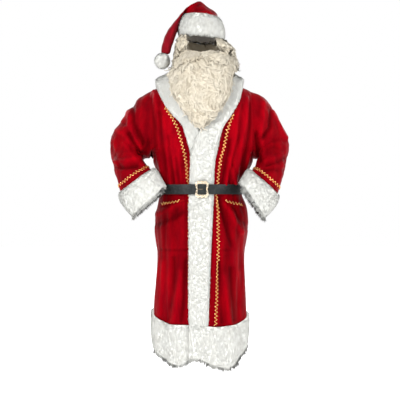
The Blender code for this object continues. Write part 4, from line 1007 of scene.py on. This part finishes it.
def hair_piece(source, sink, bunch_rise, density, mouth_rise=0.0, lining=LINING_FACING, **values):
    """A backing sunk below its solid's face and raised in bunches, covered with waved locks."""
    base = sewn_cloth(source, merged_copy(source), 2, hold=TRIM_HOLD)
    base.name = source + "-base"
    mark_lining(base.data, axis_at(HEAD_MIDDLE, 0.0), lining)
    inside = {vert for face in base.data.polygons if face.material_index == BACKING
              for vert in face.vertices}
    places = arrays(base.data)[0]
    sunk = np.array([0.0 if index in inside else -sink for index in range(len(places))])
    bunched = ripple(places, (BUNCH, BUNCH, BUNCH), 3.3) * (sunk < 0)
    over_mouth = eased((MOUTH_HALF - np.abs(places[:, 0] - BODY_MIDDLE)) / MOUTH_SIDE_SOFT)
    over_mouth = over_mouth * eased((places[:, 2] - MOUTH_LEVEL) / MOUTH_LEVEL_SOFT)
    filled = over_mouth * (sunk < 0) * (places[:, 1] < 0)
    move(base.data, sunk + bunched * bunch_rise + filled * mouth_rise)
    # The bunches' heights are kept for painted shade in their hollows and painted highlight on their tops.
    paint_fold_shade(base.data, bunched * FOLD_SHADE_FULL * BUNCH_SHADE)
    # The backing carries no lock tone, so it takes the darker cream: painted shade in the gaps between the
    # locks.
    base.data.materials.append(hair)
    base.data.materials.append(hair)
    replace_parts(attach(base, "root"), source)
    locks = grown(source + "-curls", base, curls, hair, Density=density, **values)
    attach(locks, "root")


hair_piece("wig", 0.008, 0.006, 5600.0, lining=-0.8, Unruly=0.9, Swirl=22.0, Least=0.7,
           Most=1.05, Seed=11)
hair_piece("beard", 0.008, 0.010, 8300.0, mouth_rise=0.012, Unruly=0.9, Swirl=20.0, Spread=2.5,
           Least=0.7, Most=1.1, Seed=12)
hair_piece("moustache", 0.003, 0.003, 15000.0, Unruly=0.6, Swirl=26.0, Spread=16.0, Least=0.5,
           Most=0.95, Seed=13)

# ---------------------------------------------------------------- pocket flaps
# A flap of doubled velour covers each pocket, turned in at its edge and pressed flat.
FLAP_THICKNESS = 0.002
FLAP_RISE = 0.0034
FLAP_RIPPLE = ((0.012, 0.012, 0.012), 6.0, 0.0006)
FLAP_EDGE = 0.0007
for side in ("right", "left"):
    source = f"pocket_flap_{side}"
    flap = panel(source, body_axis)
    for vert in flap.data.vertices:
        vert.co = laid_on(cloth_of[f"robe_front_{side}"], vert.co, FLAP_RISE)[0]
    move(flap.data, ripple(arrays(flap.data)[0], *FLAP_RIPPLE))
    give_thickness(flap, FLAP_THICKNESS, (velour,))
    cloth_of[source] = surface_of(flap)
    turned = flap.modifiers.new("turned edge", "BEVEL")
    turned.width = FLAP_EDGE
    turned.segments = 2
    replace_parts(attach(flap, "root"), source)

# ---------------------------------------------------------------- gold braid
# Metallic gold braid is sewn down the fronts, round the sleeves and along the pocket flaps: a flat
# woven tape, a cord laid over it in zigzags, and a small cupped sequin stitched at every turn.
def metal_look(name, colour, deep, roughness, fineness, depth):
    """Metal with a fine grain, darker in its hollows and brighter where it is rubbed."""
    material, tree, shader = new_material(name)
    mixed = placed(tree, patches, Scale=fineness, Detail=4.0, Deep=deep, Light=colour)
    bump = node(tree, "ShaderNodeBump", {"Height": mixed["Height"], "Distance": depth, "Strength": 0.5})
    rough = ranged(tree, mixed["Height"], roughness - 0.08, roughness + 0.10)
    feed(tree, shader, {"Base Color": mixed["Color"], "Roughness": rough, "Normal": bump.outputs[0],
                        "Metallic": 0.85})
    return material


gold = metal_look("gold thread", (1.0, 0.66, 0.22, 1), (0.88, 0.42, 0.10, 1), 0.38, 700.0, 0.0006)
sequin_gold = metal_look("gold sequin", (1.0, 0.74, 0.32, 1), (0.92, 0.56, 0.20, 1), 0.24, 300.0, 0.0002)
ribbon = velour_weave("braid ribbon", (0.30, 0.004, 0.004, 1), (0.20, 0.002, 0.004, 1))
CORD_RADIUS = 0.0016
SEQUIN_RADIUS = 0.0022
TAPE_RISE = 0.0013
TAPE_THICKNESS = 0.001
ZIGZAG = 0.0086
LINE_STEPS = 12
LOOK_AHEAD = 0.002
SEQUIN_LIFT = 0.0008
SEQUIN_TIP = 0.35
OVER_FACING = 0.6


def faces_over(shape, cloth):
    """The faces of a thin strip that look away from the cloth it lies on."""
    return {face for face in shape.faces
            if face.normal.dot(cloth.find_nearest(face.calc_center_median())[1]) > OVER_FACING}


def braid_line(shape, closed):
    """Points along the middle of a narrow strip's outer face, with the face's direction there."""
    inner = {edge: (edge.verts[0].co + edge.verts[1].co) / 2 for edge in shape.edges
             if len(edge.link_faces) == 2}
    ends = [face for face in shape.faces if sum(edge in inner for edge in face.edges) == 1]
    face = ends[0] if ends else next(iter(shape.faces))
    line, used = [], set()
    if ends:
        start = max((edge for edge in face.edges if edge not in inner),
                    key=lambda edge: min((edge.verts[0].co + edge.verts[1].co - 2 * inner[other]).length
                                         for other in face.edges if other in inner)
                    - 3 * edge.calc_length())
        line.append(((start.verts[0].co + start.verts[1].co) / 2, face.normal.copy()))
    while True:
        onward = [edge for edge in face.edges if edge in inner and edge not in used]
        if not onward:
            break
        edge = onward[0]
        used.add(edge)
        normal = sum((other.normal for other in edge.link_faces), Vector()).normalized()
        line.append((inner[edge], normal))
        face = next(other for other in edge.link_faces if other != face)
        if closed and len(used) == len(inner):
            break
    shape.free()
    return line


def evenly(line, spacing, closed):
    """The same line through even steps, as (place, across, outward)."""
    rows = [(*place, *normal) for place, normal in line]
    if closed:
        rows = rows + rows[:1]
    fine = through(rows, LINE_STEPS)
    gaps = np.linalg.norm(np.diff(fine[:, :3], axis=0), axis=1)
    run = np.concatenate([[0], np.cumsum(gaps)])
    count = max(2, int(round(run[-1] / spacing)))
    count += count % 2 if closed else 0
    made = []
    for step in range(count if closed else count + 1):
        at = run[-1] * step / count
        spot = np.array([np.interp(at, run, fine[:, axis]) for axis in range(6)])
        onward, back = min(at + LOOK_AHEAD, run[-1]), max(at - LOOK_AHEAD, 0)
        ahead = np.array([np.interp(onward, run, fine[:, axis]) for axis in range(3)])
        behind = np.array([np.interp(back, run, fine[:, axis]) for axis in range(3)])
        outward = Vector(spot[3:]).normalized()
        along = Vector(ahead - behind).normalized()
        made.append((Vector(spot[:3]), along.cross(outward).normalized(), outward))
    return made


def sequin(shape, place, outward, radius, turn):
    """A cupped six-sided sequin that lies flat on the braid, tipped a little."""
    made = bmesh.ops.create_cone(shape, cap_ends=True, segments=6, radius1=radius, radius2=0.55 * radius,
                                 depth=0.25 * radius)
    set_along(shape, made, place, outward, Matrix.Rotation(turn, 4, "Z"))


def added(name, shape, material):
    """A finished bmesh as a piece that has no solid of its own."""
    mesh = meshed(name, shape)
    mesh.materials.append(material)
    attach(linked(name, mesh), "root")


def braid(source, under, half, closed):
    """A line of braid on the piece under it: the tape, the zigzag cord and a sequin at each turn."""
    name = source.replace("_", "-")
    cloth = cloth_of[under]
    over = lambda shape: faces_over(shape, cloth)
    tape = sewn_cloth(name, one_side(source, over), 2)
    for vert in tape.data.vertices:
        vert.co = laid_on(cloth, vert.co, TAPE_RISE)[0]
    give_thickness(tape, TAPE_THICKNESS, (ribbon,), even=False)
    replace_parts(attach(tape, "root"), source)
    random.seed(len(source) + int(half * 1e4))
    line = evenly(braid_line(one_side(source, over), closed), ZIGZAG, closed)
    turns, shape = [], bmesh.new()
    for index, (place, across, outward) in enumerate(line):
        swing = half if index % 2 else -half
        turn = place + across * swing * random.uniform(0.8, 1.0)
        turn, outward = laid_on(cloth, turn, TAPE_RISE + CORD_RADIUS)
        turns.append(turn)
        tip = (outward + across * random.uniform(-SEQUIN_TIP, SEQUIN_TIP)
               + Vector((0, 0, random.uniform(-SEQUIN_TIP, SEQUIN_TIP)))).normalized()
        sequin(shape, turn + outward * SEQUIN_LIFT, tip, SEQUIN_RADIUS * random.uniform(0.85, 1.1),
               random.uniform(0, math.pi))
    added(name + "-sequins", shape, sequin_gold)
    shape = bmesh.new()
    tube(shape, turns, [CORD_RADIUS] * len(turns), 6, closed)
    added(name + "-cord", shape, gold)


for side in ("right", "left"):
    braid(f"front_braid_{side}", f"robe_front_{side}", 0.0063, False)
    braid(f"flap_braid_{side}", f"pocket_flap_{side}", 0.0056, False)
    braid(f"sleeve_braid_{side}", f"sleeve_{side}", 0.0062, True)

# ---------------------------------------------------------------- belt
# A strap of black grained leather, 46 mm wide, with lock stitching along both edges, punched holes
# near its tip and a leather keeper. The edges are shaved round.
def leather_look(name, colour, worn):
    """Smooth hide with a pebbled grain and creases, rubbed paler on its high spots."""
    material, tree, shader = new_material(name)
    place = node(tree, "ShaderNodeTexCoord").outputs["Object"]
    pebble = node(tree, "ShaderNodeTexVoronoi", {"Vector": place, "Scale": 750.0},
                  feature="DISTANCE_TO_EDGE")
    crease = placed(tree, patches, Scale=120.0, Detail=5.0, Low=0.45, High=0.75, Deep=colour, Light=worn)
    hide = placed(tree, grain, Broad=crease["Height"], Broad_Depth=0.0008, Broad_Strength=0.3,
                  Fine=pebble.outputs["Distance"], Fine_Depth=0.0004, Fine_Strength=0.5)
    feed(tree, shader, {"Base Color": crease["Color"], "Specular IOR Level": 0.22,
                        "Roughness": ranged(tree, crease["Height"], 0.42, 0.64), "Normal": hide["Normal"]})
    return material


leather = leather_look("black leather", (0.010, 0.012, 0.012, 1), (0.022, 0.025, 0.024, 1))
thread = leather_look("black thread", (0.030, 0.030, 0.032, 1), (0.060, 0.060, 0.062, 1))
STITCH_STEP = 0.0046
STITCH_LENGTH = 0.0032
STITCH_INSET = 0.0042
THREAD_RADIUS = 0.00042
THREAD_LIFT = 0.0001
STITCH_GAP = 0.02
STRAP_HALF = 0.023
OUTSIDE = 0.4
FLAT_ANGLE, EDGE_ANGLE, SMOOTH_ANGLE = math.radians(0.5), math.radians(35), math.radians(40)
HOLE_ANGLES = [math.radians(degrees) for degrees in (-23, -29.5, -36, -42.5)]
HOLE_RADIUS = 0.0024
HOLE_DEPTH = 0.0005


def rounded_solid(source, width, segments, material):
    """A CAD solid's copy with its sharp edges rounded off."""
    shape = merged_copy(source)
    bmesh.ops.dissolve_limit(shape, angle_limit=FLAT_ANGLE, verts=shape.verts, edges=shape.edges)
    sharp = [edge for edge in shape.edges if edge.calc_face_angle(0) > EDGE_ANGLE]
    bmesh.ops.bevel(shape, geom=sharp, offset=width, offset_type="OFFSET", segments=segments,
                    profile=0.5, affect="EDGES", clamp_overlap=True, material=-1)
    mesh = meshed(source.replace("_", "-"), shape)
    mesh.materials.clear()
    mesh.materials.append(material)
    mesh.shade_smooth()
    mesh.set_sharp_from_angle(angle=SMOOTH_ANGLE)
    obj = linked(mesh.name, mesh)
    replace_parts(obj, source)
    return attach(obj, "root")


rounded_solid("belt_strap", 0.0006, 2, leather)
rounded_solid("belt_keeper", 0.0004, 2, leather)

strap_tree = surface_of(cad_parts["belt_strap"])


def on_strap(angle, level):
    """Where a ray from outside meets the strap's face, and the face's direction."""
    away = Vector((math.sin(angle), -math.cos(angle), 0))
    start = Vector((BODY_MIDDLE, 0, BELT_LEVEL + level)) + away * OUTSIDE
    place, normal, _, _ = strap_tree.ray_cast(start, -away)
    return place, normal


stitch_shape = bmesh.new()
for level in (STRAP_HALF - STITCH_INSET, STITCH_INSET - STRAP_HALF):
    angle = 0.0
    while angle < 2 * math.pi:
        place, normal = on_strap(angle, level)
        if place is None:
            angle += STITCH_GAP
            continue
        along = Vector((-normal.y, normal.x, 0)).normalized()
        made = bmesh.ops.create_uvsphere(stitch_shape, u_segments=6, v_segments=4, radius=1.0)
        set_along(stitch_shape, made, place + normal * THREAD_LIFT, along,
                  Matrix.Diagonal((THREAD_RADIUS, THREAD_RADIUS, STITCH_LENGTH / 2, 1)))
        angle += STITCH_STEP / Vector((place.x - BODY_MIDDLE, place.y, 0)).length
added("belt-stitching", stitch_shape, thread)

# Each punched hole is a thin near-black disc on the strap's face: painted shade in place of the hole's
# depth.
hole_shape = bmesh.new()
for angle in HOLE_ANGLES:
    place, normal = on_strap(angle, 0.0)
    made = bmesh.ops.create_cone(hole_shape, cap_ends=True, segments=16, radius1=HOLE_RADIUS,
                                 radius2=HOLE_RADIUS * 0.9, depth=HOLE_DEPTH)
    set_along(hole_shape, made, place, normal)
hole_shade = leather_look("punched edge", (0.003, 0.003, 0.003, 1), (0.006, 0.006, 0.006, 1))
added("belt-holes", hole_shape, hole_shade)

# ---------------------------------------------------------------- buckle
# A cast frame in pale gold plate: its sides curve in, its rails carry a rope border and scrolls in
# relief, and a prong hinged on the bar crosses the window.
brass = metal_look("pale gold plate", (0.90, 0.79, 0.62, 1), (0.68, 0.54, 0.38, 1), 0.26, 260.0, 0.0003)
rounded_solid("buckle_frame", 0.0007, 3, brass)
dark_brass = metal_look("blackened brass", (0.16, 0.13, 0.09, 1), (0.08, 0.06, 0.04, 1), 0.40, 900.0, 0.0002)
rounded_solid("buckle_prong", 0.0005, 2, dark_brass)

plate_tree = surface_of(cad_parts["buckle_frame"])
plate_heart = heart_of("buckle_frame")
plate_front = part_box("buckle_frame")[0].y
BEAD_RADIUS, BEAD_LIFT = 0.0011, 0.0004
WIRE_RADIUS, WIRE_LIFT = 0.0008, 0.0003
SCROLL_LIFT, SCROLL_STEPS = 0.0005, 18
LEAF_ROOT, LEAF_MIDDLE, LEAF_WIDE, LEAF_HIGH = 0.0288, 0.0292, 0.0046, 0.0056
BORDER_HALF, BORDER_DIP, BORDER_STEPS = (0.0278, 0.0348), 0.0045, 84
RIM_HALF, RIM_DIP = (0.0238, 0.0272), 0.0038
OVAL_POWER = 5
OVAL_DIP_WIDTH = 0.35
# Scrolls of the upper right quarter: middle (x, z) and first radius in millimetres, first angle in
# degrees, and turns, which are negative clockwise.
SCROLLS = [(6.4, 32.2, 2.9, 200, -1.3), (13.2, 30.4, 3.0, 20, 1.3), (20.2, 31.6, 2.6, 200, -1.2),
           (24.2, 25.2, 2.0, 100, -1.1)]


def on_plate(x, z, lift):
    """A point over the buckle's face, above a place in its front view."""
    start = Vector((plate_heart.x + x, plate_front - 0.05, plate_heart.z + z))
    place, normal, _, _ = plate_tree.ray_cast(start, Vector((0, 1, 0)))
    return None if place is None or normal.y > -0.5 else place + normal * lift


def oval(half, dip, steps):
    """Marks round a rounded oblong whose sides curve in."""
    marks = []
    for step in range(steps):
        turn = 2 * math.pi * step / steps
        reach = ((abs(math.sin(turn)) / half[0]) ** OVAL_POWER
                 + (abs(math.cos(turn)) / half[1]) ** OVAL_POWER) ** (-1 / OVAL_POWER)
        reach -= dip * math.exp(-((math.cos(turn) / OVAL_DIP_WIDTH) ** 2))
        marks.append((reach * math.sin(turn), reach * math.cos(turn)))
    return marks


relief = bmesh.new()
for x, z in oval(BORDER_HALF, BORDER_DIP, BORDER_STEPS):
    place = on_plate(x, z, BEAD_LIFT)
    if place is None:
        continue
    made = bmesh.ops.create_uvsphere(relief, u_segments=8, v_segments=5, radius=BEAD_RADIUS)
    bmesh.ops.translate(relief, verts=made["verts"], vec=place)
rim = [on_plate(x, z, WIRE_LIFT) for x, z in oval(RIM_HALF, RIM_DIP, BORDER_STEPS)]
rim = [place for place in rim if place is not None]
tube(relief, rim, [WIRE_RADIUS] * len(rim), 6, closed=True)
for x, z, first, angle, turns in SCROLLS:
    for across in (-1, 1):
        for up in (-1, 1):
            points, radii = [], []
            for step in range(SCROLL_STEPS + 1):
                share = step / SCROLL_STEPS
                reach = MILLIMETRE * first * (1 - 0.80 * share)
                turn = math.radians(angle) + 2 * math.pi * turns * share
                place = on_plate(across * (MILLIMETRE * x + reach * math.cos(turn)),
                                 up * (MILLIMETRE * z + reach * math.sin(turn)), SCROLL_LIFT)
                if place is not None:
                    points.append(place)
                    radii.append(WIRE_RADIUS * (1.1 - 0.45 * share))
            if len(points) > 3:
                tube(relief, points, radii, 6)
for up in (-1, 1):
    for lean in (-38, 0, 38):
        wide = LEAF_WIDE * math.sin(math.radians(lean))
        high = LEAF_MIDDLE + LEAF_HIGH * math.cos(math.radians(lean))
        points = [on_plate(wide * share, up * (LEAF_ROOT + (high - LEAF_ROOT) * share), SCROLL_LIFT)
                  for share in (0.0, 0.35, 0.7, 1.0)]
        if None not in points:
            tube(relief, points, [0.0006, 0.0013, 0.0012, 0.0004], 6)
added("buckle-relief", relief, brass)
